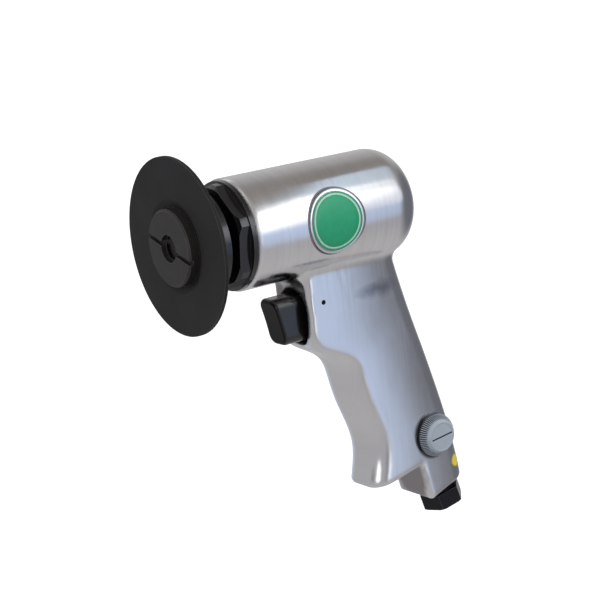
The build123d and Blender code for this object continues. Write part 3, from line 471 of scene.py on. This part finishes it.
# %% Cast aluminium: polish and edges
SHELTER_REACH, SHELTERED, BUFFED = 0.025, 0.25, 0.65
ROUGH_CAST, ROLLED_EDGE = (0.50, 0.50, 0.50), 0.0035
PIN_MOUTH, MOUTH_EDGE = (0.06, 0.0075, 0.0075), 0.3
bright_buff = ranged(cast_aluminium, belt_lines, low=0.10, high=0.17)
dull_buff = ranged(cast_aluminium, belt_lines, low=0.16, high=0.26)
buff = mixed(cast_aluminium, ranged(cast_aluminium, cloud, low=0.0, high=1.0), bright_buff, dull_buff)
shelter = openness(cast_aluminium, SHELTER_REACH)
reached = ranged(cast_aluminium, shelter, 0.0, 1.0, SHELTERED, BUFFED)
drive(cast_aluminium, "Roughness", mixed(cast_aluminium, reached, ROUGH_CAST, buff))

rounded = put(cast_aluminium, "ShaderNodeBevel", Radius=ROLLED_EDGE)
rounded.samples = CORNER_SAMPLES
crisp = put(cast_aluminium, "ShaderNodeNewGeometry").outputs["Normal"]
pin_low, pin_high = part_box("trigger_pin")
pin_mouth = smear(cast_aluminium, (pin_low + pin_high) / 2, PIN_MOUTH, wander=0.0)
drilled = ranged(cast_aluminium, pin_mouth, 0.0, 1.0, 0.0, MOUTH_EDGE)
drive(cast_aluminium, "Normal", mixed(cast_aluminium, drilled, rounded.outputs["Normal"], crisp))
tooth(cast_aluminium, buffed, strength=0.25, depth=0.0004)
tooth(cast_aluminium, streaks, strength=0.06, depth=0.00005)
tooth(cast_aluminium, belt_lines, strength=0.05, depth=0.00003)
dressed(cast_aluminium, "housing")

# %% [markdown]
# ## Blackened steel
# The clamp nut, the flange behind the pad, the trigger's pin and the inlet fitting are turned steel with
# a black oxide coat: dark, glossy and a little blue. Turning marks run round an axis, so their noise is
# drawn in rings, from the distance along the axis and the distance from its centre. Edges show where
# the coat has been knocked.


# %% Blackened steel
def ringed(material, centre, along, fineness):
    """Noise in rings round an axis, for turned faces."""
    place = put(material, "ShaderNodeTexCoord")
    away = put(material, "ShaderNodeVectorMath", [(place.outputs["Object"], 0)])
    away.operation = "SUBTRACT"
    away.inputs[1].default_value = centre
    onto = put(material, "ShaderNodeVectorMath", [(away.outputs["Vector"], 0)])
    onto.operation = "DOT_PRODUCT"
    onto.inputs[1].default_value = along
    size = put(material, "ShaderNodeVectorMath", [(away.outputs["Vector"], 0)])
    size.operation = "LENGTH"
    parts = [(onto.outputs["Value"], "X"), (size.outputs["Value"], "Y")]
    rings = put(material, "ShaderNodeCombineXYZ", parts)
    links = [(rings.outputs["Vector"], "Vector")]
    noise = put(material, "ShaderNodeTexNoise", links, Scale=fineness, Detail=3.0, Roughness=0.6)
    return noise.outputs["Fac"]


SPINDLE_CENTRE, SPINDLE_AXIS, SPINDLE_GLOSS = (0.0, 0.0, 0.0), (0.0, 1.0, 0.0), 0.6
INLET_CENTRE, INLET_AXIS, INLET_GLOSS = (0.0, 0.1204, -0.1338), (0.0, 0.2756, -0.9613), 0.15


def blackened_steel(name, centre, along, gloss):
    """Black oxide over turned steel, with bright knocks along its edges."""
    steel = new_finish(name, Metallic=0.4, Specular_IOR_Level=gloss, Coat_Weight=gloss, Coat_Roughness=0.08)
    turning = ringed(steel, centre, along, fineness=2600)
    blotch = grain(steel, scale=90)
    knocks = worn_edge(steel, radius=0.0004)
    coat = mixed(steel, blotch, (0.008, 0.008, 0.010), (0.022, 0.022, 0.026))
    drive(steel, "Base Color", mixed(steel, knocks, coat, (0.11, 0.11, 0.115)))
    drive(steel, "Roughness", ranged(steel, turning, low=0.14, high=0.26))
    tooth(steel, turning, strength=0.06, depth=0.00004)
    return steel


black_spindle = blackened_steel("blackened_spindle_steel", SPINDLE_CENTRE, SPINDLE_AXIS, SPINDLE_GLOSS)
dressed(black_spindle, "front_cap", "pad_flange", "trigger_pin")
black_inlet = blackened_steel("blackened_inlet_steel", INLET_CENTRE, INLET_AXIS, INLET_GLOSS)
dressed(black_inlet, "inlet_bushing")

# %% [markdown]
# ## Pad and nut
# The pad is moulded rubber on a fibre plate: matte, almost black, with a fine moulded tooth and a little
# grey dust. Its nut is phosphated steel, a dull warm grey with the rings that the lathe left.

# %% Pad and nut
pad_rubber = new_finish("pad_rubber", Specular_IOR_Level=0.35)
moulding = grain(pad_rubber, scale=1800, detail=3.0)
dust = grain(pad_rubber, scale=45, detail=6.0)
pad_rim = worn_edge(pad_rubber, radius=0.0005)
rubber_tone = mixed(pad_rubber, dust, (0.010, 0.010, 0.010), (0.017, 0.017, 0.0165))
drive(pad_rubber, "Base Color", mixed(pad_rubber, pad_rim, rubber_tone, (0.060, 0.060, 0.060)))
drive(pad_rubber, "Roughness", ranged(pad_rubber, dust, low=0.55, high=0.72))
tooth(pad_rubber, moulding, strength=0.25, depth=0.00008)
dressed(pad_rubber, "backing_pad")

nut_steel = new_finish("phosphated_nut_steel", Metallic=0.45, Specular_IOR_Level=0.5)
lathe_rings = ringed(nut_steel, SPINDLE_CENTRE, SPINDLE_AXIS, fineness=3200)
nut_stain = grain(nut_steel, scale=160, detail=6.0)
nut_edge = worn_edge(nut_steel, radius=0.0004)
nut_tone = mixed(nut_steel, nut_stain, (0.028, 0.026, 0.024), (0.050, 0.047, 0.043))
drive(nut_steel, "Base Color", mixed(nut_steel, nut_edge, nut_tone, (0.16, 0.155, 0.15)))
drive(nut_steel, "Roughness", ranged(nut_steel, lathe_rings, low=0.38, high=0.55))
tooth(nut_steel, lathe_rings, strength=0.12, depth=0.00006)
dressed(nut_steel, "pad_nut")

# %% [markdown]
# ## Plastics and rubber
# The trigger is black nylon from a polished mould, the knob a blue-grey acetal. Both have the slight
# orange peel of a moulding, and corners that fingers have polished. The trigger's front, where the
# finger lies, is duller than its sides. The gaps between the knob's ribs are painted dark, as shade. The
# vanes of the motor are brown resin, and the seals plain rubber.


# %% Moulded plastics
def moulded_plastic(name, dark, light, corner, smoothest, roughest):
    """A moulding with a slight orange peel and rubbed corners."""
    plastic = new_finish(name, Specular_IOR_Level=0.5)
    peel = grain(plastic, scale=700, detail=2.0)
    tone = grain(plastic, scale=60, detail=4.0)
    rubbed = worn_edge(plastic, radius=0.0005)
    drive(plastic, "Base Color", mixed(plastic, rubbed, mixed(plastic, tone, dark, light), corner))
    drive(plastic, "Roughness", ranged(plastic, tone, smoothest, roughest))
    tooth(plastic, peel, strength=0.08, depth=0.00006)
    return plastic


def greys(*tones):
    return [(tone, tone, tone) for tone in tones]


FRONT_FACING, SIDE_FACING, SIDE_POLISH = -0.85, -0.45, 0.6
FRONT_SHEEN, SIDE_SHEEN = 0.12, 0.5
trigger_nylon = moulded_plastic("trigger_nylon", *greys(0.006, 0.012, 0.03), smoothest=0.18, roughest=0.28)
facing_pad = coordinate(trigger_nylon, "Normal", "Y")
polish = ranged(trigger_nylon, facing_pad, 0.0, SIDE_POLISH, FRONT_FACING, SIDE_FACING)
drive(trigger_nylon, "Coat Weight", polish)
sheen = ranged(trigger_nylon, polish, FRONT_SHEEN, SIDE_SHEEN, 0.0, SIDE_POLISH)
drive(trigger_nylon, "Specular IOR Level", sheen)
dressed(trigger_nylon, "trigger")

KNOB_TONES = (0.37, 0.43, 0.50), (0.45, 0.51, 0.58), (0.54, 0.59, 0.65)
RIB_GAP, GAP_DARK, GAP_UNSHADED, GAP_SHADE_TONE = 0.0020, 0.45, 0.90, (0.03, 0.035, 0.045)
knob_acetal = moulded_plastic("knob_acetal", *KNOB_TONES, smoothest=0.22, roughest=0.32)
# Painted shade in the gaps between the ribs and in the pointer slot, from how open each face is
gap_shade_share = ranged(knob_acetal, openness(knob_acetal, RIB_GAP), 0.0, 1.0, GAP_DARK, GAP_UNSHADED)
knob_tone = driven_by(knob_acetal, "Base Color")
drive(knob_acetal, "Base Color", mixed(knob_acetal, gap_shade_share, GAP_SHADE_TONE, knob_tone))

RESIN_TONES = (0.20, 0.11, 0.05), (0.30, 0.18, 0.08), (0.34, 0.22, 0.11)
vane_names = [f"vane_{number}" for number in range(1, 6)]
dressed(moulded_plastic("vane_resin", *RESIN_TONES, smoothest=0.45, roughest=0.60), *vane_names)
seal_rubber = moulded_plastic("seal_rubber", *greys(0.015, 0.03, 0.05), smoothest=0.5, roughest=0.65)
dressed(seal_rubber, "bushing_seal", "valve_seal", "regulator_seal")

# %% [markdown]
# ## Inner metals and felts
# Most of what makes the tool work is hidden: ground steel, bearing steel, brass and felt. They get their
# own finishes too, because the model may be opened up or shown in section. The spindle's tip shows in
# the nut, where it is as dark as the nut.


# %% Inner metals
def machined_metal(name, dark, light, smoothest, roughest):
    """Bare metal with fine turning marks."""
    metal = new_finish(name, Metallic=1.0)
    turning = ringed(metal, SPINDLE_CENTRE, SPINDLE_AXIS, fineness=3000)
    drive(metal, "Base Color", mixed(metal, grain(metal, scale=120), dark, light))
    drive(metal, "Roughness", ranged(metal, turning, smoothest, roughest))
    tooth(metal, turning, strength=0.08, depth=0.00005)
    return metal


STEEL_TONES = (0.42, 0.42, 0.43), (0.56, 0.56, 0.57)
ground_steel = machined_metal("ground_steel", *STEEL_TONES, smoothest=0.18, roughest=0.32)
dressed(ground_steel, "locating_pin", "inlet_screen", "exhaust_cover", "valve_spring", "regulator_clip")

TIP_END, TIP_FADE, TIP_TONE = 0.004, 0.007, (0.020, 0.019, 0.018)
spindle_steel = machined_metal("spindle_steel", *STEEL_TONES, smoothest=0.18, roughest=0.32)
bare = ranged(spindle_steel, coordinate(spindle_steel, "Object", "Y"), 0.0, 1.0, TIP_END, TIP_FADE)
bright_steel = driven_by(spindle_steel, "Base Color")
drive(spindle_steel, "Base Color", mixed(spindle_steel, bare, TIP_TONE, bright_steel))
dressed(spindle_steel, "rotor")

bearing_names = [f"{end}_bearing_{ring}" for end in ("front", "rear") for ring in ("outer", "inner", "balls")]
BEARING_TONES = (0.58, 0.58, 0.60), (0.68, 0.68, 0.70)
IRON_TONES = (0.22, 0.22, 0.23), (0.32, 0.32, 0.33)
BRASS_TONES = (0.56, 0.38, 0.13), (0.70, 0.50, 0.20)
bearing_steel = machined_metal("bearing_steel", *BEARING_TONES, smoothest=0.08, roughest=0.16)
dressed(bearing_steel, *bearing_names)
plate_iron = machined_metal("plate_iron", *IRON_TONES, smoothest=0.35, roughest=0.5)
dressed(plate_iron, "front_plate", "rear_plate", "cylinder")
valve_brass = machined_metal("valve_brass", *BRASS_TONES, smoothest=0.2, roughest=0.34)
dressed(valve_brass, "valve_bushing", "valve_stem", "regulator_stem")


# %% Felts
def pressed_felt(name, dark, light):
    """Matted wool or fibre."""
    felt = new_finish(name, Sheen_Weight=0.4, Sheen_Roughness=0.5, Specular_IOR_Level=0.2)
    fibres = grain(felt, scale=1600, stretch=(1, 1, 0.3), detail=6.0, roughness=0.7)
    drive(felt, "Base Color", mixed(felt, fibres, dark, light))
    drive(felt, "Roughness", ranged(felt, fibres, low=0.85, high=0.98))
    tooth(felt, fibres, strength=0.6, depth=0.0002)
    return felt


dressed(pressed_felt("grey_felt", (0.20, 0.19, 0.17), (0.36, 0.34, 0.30)), "spindle_seal", "exhaust_felt")
dressed(pressed_felt("gasket_fibre", (0.10, 0.09, 0.08), (0.18, 0.16, 0.14)), "motor_gasket")

# %% [markdown]
# ## Badge
# The badge is a stamped plate on the barrel's side, bent a little less than the barrel, with a skirt that
# reaches down to it. Its rolled rim is bright, and glassy enamel fills its fields: a green disc, a pale
# ring and a thin green line outside it. A dark ring round the plate is painted shade, for the shadow and the
# dark reflection at its edge. A flat disc with a picture on it would not catch the light at its edges, so
# each field is a thin body with a rounded shoulder. All are turned from a profile and then bent, which means
# that the distance across becomes an angle.


# %% Making a piece from a mesh
SHARP_ANGLE = math.radians(32)


def keep(mesh, name, body):
    """Makes a smooth-shaded piece of a finished mesh, and lets it ride on a body."""
    bmesh.ops.recalc_face_normals(mesh, faces=mesh.faces)
    data = bpy.data.meshes.new(name)
    mesh.to_mesh(data)
    mesh.free()
    data.polygons.foreach_set("use_smooth", [True] * len(data.polygons))
    data.set_sharp_from_angle(angle=SHARP_ANGLE)
    piece = bpy.data.objects.new(name, data)
    scene.collection.objects.link(piece)
    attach(piece, body)
    return piece


def bridged(mesh, loops, closed=False):
    """Faces between rings of points, each ring with the next; a ring of one point makes a fan."""
    for first, second in zip(loops, loops[1:] + loops[:1] if closed else loops[1:]):
        count = max(len(first), len(second))
        for step in range(count if count > 1 else 0):
            ends = [(first, step), (first, step + 1), (second, step + 1), (second, step)]
            mesh.faces.new(list(dict.fromkeys(loop[place % len(loop)] for loop, place in ends)))


# %% Badge shapes
badge_low, badge_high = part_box("badge")
BADGE_MIDDLE = (badge_low.y + badge_high.y) / 2
BARREL_RADIUS, PLATE_BEND = 24.0 * MM, 32.0 * MM
ROUND_STEPS = 120
BADGE_LIFT = 0.5 * MM
lifted = Matrix.Rotation(-BADGE_LIFT / BARREL_RADIUS, 3, "Y")
BED_RISE, FLOOR_RISE, ENAMEL_RISE, RIM_RISE = 0.03, 0.20, 0.36, 0.49
SHOULDER_SOFT, DISC_ROWS = 0.3, (0.25, 0.5, 0.75)


def wrapped(name, profile, seated=False):
    """A ring on the badge, turned from a closed profile of (radius, rise) in millimetres.

    Points at the bed, and every point of a seated ring, rise from the barrel instead of the plate."""
    mesh = bmesh.new()
    loops = []
    for radius, rise in profile:
        loop = []
        for step in range(ROUND_STEPS if radius else 1):
            turn = 2 * math.pi * step / ROUND_STEPS
            angle = radius * MM * math.sin(turn) / PLATE_BEND
            upward = (PLATE_BEND + rise * MM) * math.sin(angle)
            out = BARREL_RADIUS - PLATE_BEND + (PLATE_BEND + rise * MM) * math.cos(angle)
            if seated or rise <= BED_RISE:
                out = math.sqrt(BARREL_RADIUS**2 - upward**2) + rise * MM
            along = BADGE_MIDDLE + radius * MM * math.cos(turn)
            loop.append(mesh.verts.new(lifted @ Vector((out, along, upward))))
        loops.append(loop)
    bridged(mesh, loops, closed=True)
    return keep(mesh, name, "housing")


def field(inner, outer, bed, top, shoulder):
    """Profile of a disc or ring of enamel, with rounded shoulders."""
    soft = shoulder * SHOULDER_SOFT
    inside = [(inner, bed), (inner, top - shoulder), (inner + soft, top - soft), (inner + shoulder, top)]
    if inner == 0:
        inside = [(0, bed), (0, top)] + [(outer * share, top) for share in DISC_ROWS]
    outside = [(outer - shoulder, top), (outer - soft, top - soft), (outer, top - shoulder), (outer, bed)]
    return inside + outside


GREEN_DISC, PALE_RING, GREEN_LINE, RIM_OUT, SHADE_RING_OUT = 10.95, 11.80, 12.55, 13.95, 14.70
HALFWAY, GAP, SHADE_RING_GAP, SHADE_RING_RISE = 6.0, 0.03, 0.02, 0.22
RING_SHOULDER, DISC_SHOULDER, RING_PROUD = 0.10, 0.12, 0.02
RIM_FOOT, RIM_WALL, RIM_CROWN, RIM_ROLL = 0.05, 0.08, 0.25, 0.3
WALL_RISE, ROLL_RISE = 0.40, 0.36
plate_profile = [
    (0, BED_RISE),
    (0, FLOOR_RISE),
    (HALFWAY, FLOOR_RISE),
    (GREEN_LINE + RIM_FOOT, FLOOR_RISE),
    (GREEN_LINE + RIM_WALL, WALL_RISE),
    (GREEN_LINE + RIM_CROWN, RIM_RISE),
    (RIM_OUT - RIM_ROLL, RIM_RISE),
    (RIM_OUT, ROLL_RISE),
    (RIM_OUT, BED_RISE),
    (HALFWAY, BED_RISE),
]
badge_plate = wrapped("badge_plate", plate_profile)
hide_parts("badge")
# A dark ring of painted shade round the plate, for the shadow and dark reflection at its edge
shade_ring_profile = field(RIM_OUT + SHADE_RING_GAP, SHADE_RING_OUT, BED_RISE, SHADE_RING_RISE, RING_SHOULDER)
badge_shade_ring = wrapped("badge_shade_ring", shade_ring_profile, seated=True)
disc_profile = field(0, GREEN_DISC, FLOOR_RISE, ENAMEL_RISE, DISC_SHOULDER)
badge_disc = wrapped("badge_disc", disc_profile)
ring_profile = field(GREEN_DISC + GAP, PALE_RING, FLOOR_RISE, ENAMEL_RISE + RING_PROUD, RING_SHOULDER)
badge_ring = wrapped("badge_ring", ring_profile)
line_profile = field(PALE_RING + GAP, GREEN_LINE, FLOOR_RISE, ENAMEL_RISE, RING_SHOULDER)
badge_line = wrapped("badge_line", line_profile)
badge_pieces = (badge_plate, badge_shade_ring, badge_disc, badge_ring, badge_line)
print("badge pieces:", [(piece.name, len(piece.data.polygons)) for piece in badge_pieces])


# %% Badge finishes
def enamel(name, dark, light):
    """Fired glass colour: a deep clear coat over a slightly uneven tone."""
    glass = new_finish(name, Specular_IOR_Level=0.4, Coat_Weight=0.15, Coat_Roughness=0.12)
    depth = grain(glass, scale=260, detail=3.0)
    ripple = grain(glass, scale=420, detail=1.0)
    drive(glass, "Base Color", mixed(glass, depth, dark, light))
    drive(glass, "Roughness", ranged(glass, depth, low=0.30, high=0.42))
    tooth(glass, ripple, strength=0.04, depth=0.00005)
    return glass


# Tones of the painted shade ring, then of the rim
SHADE_RING_TONES = (0.13, 0.13, 0.14), (0.19, 0.19, 0.20), (0.22, 0.22, 0.23)
RIM_TONES = (0.70, 0.71, 0.73), (0.82, 0.83, 0.85)
dressed(enamel("green_enamel", (0.008, 0.315, 0.140), (0.018, 0.416, 0.200)), badge_disc, badge_line)
dressed(enamel("pale_enamel", (0.42, 0.66, 0.54), (0.54, 0.78, 0.66)), badge_ring)
dressed(machined_metal("rolled_rim", *RIM_TONES, smoothest=0.14, roughest=0.26), badge_plate)
dressed(moulded_plastic("badge_shade_ring_dark", *SHADE_RING_TONES, smoothest=0.4, roughest=0.55), badge_shade_ring)

# %% [markdown]
# ## Speed knob
# The knob is a moulded thumb wheel: a dished face with a pointer slot, and a flank that spreads to a
# ribbed foot. The solid model has its size, socket and slot. Here the ribs run up the flank and run out
# before the face, as a mould's fluting cutter leaves them. Each row of the flank is a ring of points, and
# the ribs are a wave that draws the ring inwards; the face is filled round the open slot.

# %% Speed knob
KNOB_RIBS, RIB_POINTS, RIB_DEPTH = 60, 8, 0.75
SOCKET_RADIUS, SOCKET_RISE, FACE_RISE = 3.05, 2.1, 4.6
# Rise, radius and share of the ribs' depth, from the socket over the flank to the face
KNOB_ROWS = (
    (SOCKET_RISE, 0.0, 0.0), (SOCKET_RISE, SOCKET_RADIUS, 0.0), (0.0, SOCKET_RADIUS, 0.0),
    (0.0, 9.1, 0.6), (0.1, 9.50, 1.0), (0.5, 9.70, 1.0), (1.0, 9.55, 1.0), (1.8, 9.05, 1.0),
    (2.6, 8.45, 0.9), (3.2, 7.95, 0.6), (3.6, 7.60, 0.2), (3.8, 7.40, 0.0), (4.2, 7.10, 0.0),
    (4.55, 6.85, 0.0), (4.78, 6.60, 0.0), (4.85, 6.35, 0.0), (4.80, 6.15, 0.0), (FACE_RISE, 5.95, 0.0),
)
POINTER_TURN, POINTER_REACH, POINTER_WIDE, POINTER_DEEP = math.radians(7), 5.7, 0.75, 0.6


def knob_point(mesh, rise, across, upward):
    return mesh.verts.new(knob_place + Vector((rise, across, upward)) * MM)


def edges_round(mesh, ring):
    return [mesh.edges.get(pair) for pair in zip(ring, ring[1:] + ring[:1])]


mesh = bmesh.new()
loops = []
for rise, radius, rib in KNOB_ROWS:
    loop = []
    for step in range(KNOB_RIBS * RIB_POINTS if radius else 1):
        turn = 2 * math.pi * step / (KNOB_RIBS * RIB_POINTS)
        cut = radius - rib * RIB_DEPTH * (0.5 - 0.5 * math.cos(turn * KNOB_RIBS))
        loop.append(knob_point(mesh, rise, cut * math.cos(turn), cut * math.sin(turn)))
    loops.append(loop)
bridged(mesh, loops)
slot_rings = []
for rise in (FACE_RISE, FACE_RISE - POINTER_DEEP):
    ring = []
    for end, side in SQUARE:
        reach, half = end * POINTER_REACH, side * POINTER_WIDE / 2
        across = reach * math.cos(POINTER_TURN) - half * math.sin(POINTER_TURN)
        upward = reach * math.sin(POINTER_TURN) + half * math.cos(POINTER_TURN)
        ring.append(knob_point(mesh, rise, across, upward))
    slot_rings.append(ring)
bridged(mesh, slot_rings)
mesh.faces.new(slot_rings[1])
face_edges = edges_round(mesh, loops[-1]) + edges_round(mesh, slot_rings[0])
bmesh.ops.triangle_fill(mesh, use_beauty=True, edges=face_edges, normal=(1, 0, 0))
thumb_wheel = keep(mesh, "thumb_wheel", "regulator")
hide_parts("regulator_knob")
dressed(knob_acetal, thumb_wheel)
print("knob with", KNOB_RIBS, "ribs")

# %% [markdown]
# ## Dot label
# A round paper label sticks low on the grip, where the side turns into the palm. The solid model's label
# ends at the seam between two faces. Paper bends over it, so here a disc of points is dropped straight
# onto the casting: each point is a ray along the label's facing, and lands where the ray meets the metal.
# Its border is darker than its middle.

# %% Dot label
LABEL_PLACE = Vector((9.45, 124.85, -122.9)) * MM
LABEL_TURN, LABEL_RADIUS, LABEL_STEPS, RAY_START = math.radians(36.0), 3.3, 60, 8 * MM
LABEL_TOP, LABEL_UNDER = 0.16, 0.02
# Share of the radius and rise, from the middle over the edge and back under
LABEL_ROWS = [(share, LABEL_TOP) for share in (0, 0.3, 0.6, 0.85)]
LABEL_ROWS += [(0.97, 0.14), (1.0, 0.09)]
LABEL_ROWS += [(share, LABEL_UNDER) for share in (1.0, 0.85, 0.6, 0.3, 0)]
casting = nodes["housing"]
casting_points = [casting.matrix_world @ vertex.co for vertex in casting.data.vertices]
casting_skin = BVHTree.FromPolygons(casting_points, [tuple(face.vertices) for face in casting.data.polygons])
label_out = Vector((math.cos(LABEL_TURN), math.sin(LABEL_TURN), 0))
label_up = Vector((0, 0, 1))
label_across = label_up.cross(label_out)
mesh = bmesh.new()
loops = []
for share, rise in LABEL_ROWS:
    loop = []
    for step in range(LABEL_STEPS if share else 1):
        turn = 2 * math.pi * step / LABEL_STEPS
        aside = label_across * math.cos(turn) + label_up * math.sin(turn)
        start = LABEL_PLACE + aside * share * LABEL_RADIUS * MM + label_out * RAY_START
        landed, facing_out = casting_skin.ray_cast(start, -label_out)[:2]
        loop.append(mesh.verts.new(landed + facing_out * rise * MM))
    loops.append(loop)
bridged(mesh, loops)
paper_label = keep(mesh, "paper_label", "housing")
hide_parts("dot_label")
print("label faces:", len(paper_label.data.polygons))

# %% Label finish
LABEL_TONES, BORDER_TONE = ((0.84, 0.66, 0.08), (0.95, 0.78, 0.13), (0.66, 0.50, 0.05)), (0.30, 0.21, 0.03)
BORDER_START, BORDER_WANDER = 0.70, 0.0006
label_paper = moulded_plastic("yellow_label", *LABEL_TONES, smoothest=0.30, roughest=0.42)
label_reach = [LABEL_RADIUS * MM] * 3
label_middle = smear(label_paper, LABEL_PLACE, label_reach, BORDER_START, BORDER_WANDER)
label_tone = driven_by(label_paper, "Base Color")
drive(label_paper, "Base Color", mixed(label_paper, label_middle, BORDER_TONE, label_tone))
dressed(label_paper, paper_label)

# %% [markdown]
# ## Inlet thread
# The air fitting screws into the inlet, so its bore has a pipe thread. The solid model stops at the
# plain bore; the thread is swept here as one long ridge with a triangular section, low at both ends,
# as a tap leaves it.

# %% Inlet thread
THREAD_RADIUS, THREAD_DEPTH, THREAD_PITCH, THREAD_BASE = 5.9, 0.45, 1.34, 1.1
THREAD_START, THREAD_LENGTH, TURN_STEPS = 9.2, 11.6, 48
THREAD_SUNK, LEAD_RATE = 0.03, 1.5
inlet_middle, inlet_down = Vector(INLET_CENTRE), Vector(INLET_AXIS)
inlet_left = Vector((1, 0, 0))
inlet_fore = inlet_down.cross(inlet_left)
mesh = bmesh.new()
steps = int(THREAD_LENGTH / THREAD_PITCH * TURN_STEPS)
sections = []
for step in range(steps + 1):
    turn = 2 * math.pi * step / TURN_STEPS
    down = THREAD_START - THREAD_PITCH * step / TURN_STEPS
    lead = min(1.0, step / TURN_STEPS * LEAD_RATE, (steps - step) / TURN_STEPS * LEAD_RATE)
    out = inlet_left * math.cos(turn) + inlet_fore * math.sin(turn)
    foot, crest = THREAD_RADIUS + THREAD_SUNK, THREAD_RADIUS - THREAD_DEPTH * lead
    ridge = ((foot, -THREAD_BASE / 2), (crest, 0), (foot, THREAD_BASE / 2))
    points = [inlet_middle + (out * radius + inlet_down * (down + shift)) * MM for radius, shift in ridge]
    sections.append([mesh.verts.new(point) for point in points])
bridged_sides = ((0, 1), (1, 2), (2, 0))
for first, second in zip(sections, sections[1:]):
    for one, two in bridged_sides:
        mesh.faces.new((first[one], first[two], second[two], second[one]))
mesh.faces.new(sections[0])
mesh.faces.new(reversed(sections[-1]))
inlet_thread = keep(mesh, "inlet_thread", "housing")
dressed(black_inlet, inlet_thread)
print("inlet thread of", round(THREAD_LENGTH / THREAD_PITCH, 1), "turns")

# %% [markdown]
# ## Floor finish
# The floor is white background paper. It glows a little, so that it stays white to the camera however
# the tool is lit, and a faint cloud keeps it from being one flat tone.

# %% Floor finish
floor_finish = new_finish("pale_floor", Roughness=0.9, Specular_IOR_Level=0.1, Emission_Strength=0.93)
floor_cloud = grain(floor_finish, scale=1.5)
drive(floor_finish, "Base Color", mixed(floor_finish, floor_cloud, *greys(0.30, 0.33)))
drive(floor_finish, "Emission Color", mixed(floor_finish, floor_cloud, *greys(0.94, 0.97)))
floor_mesh.materials.append(floor_finish)
print("floor finished")
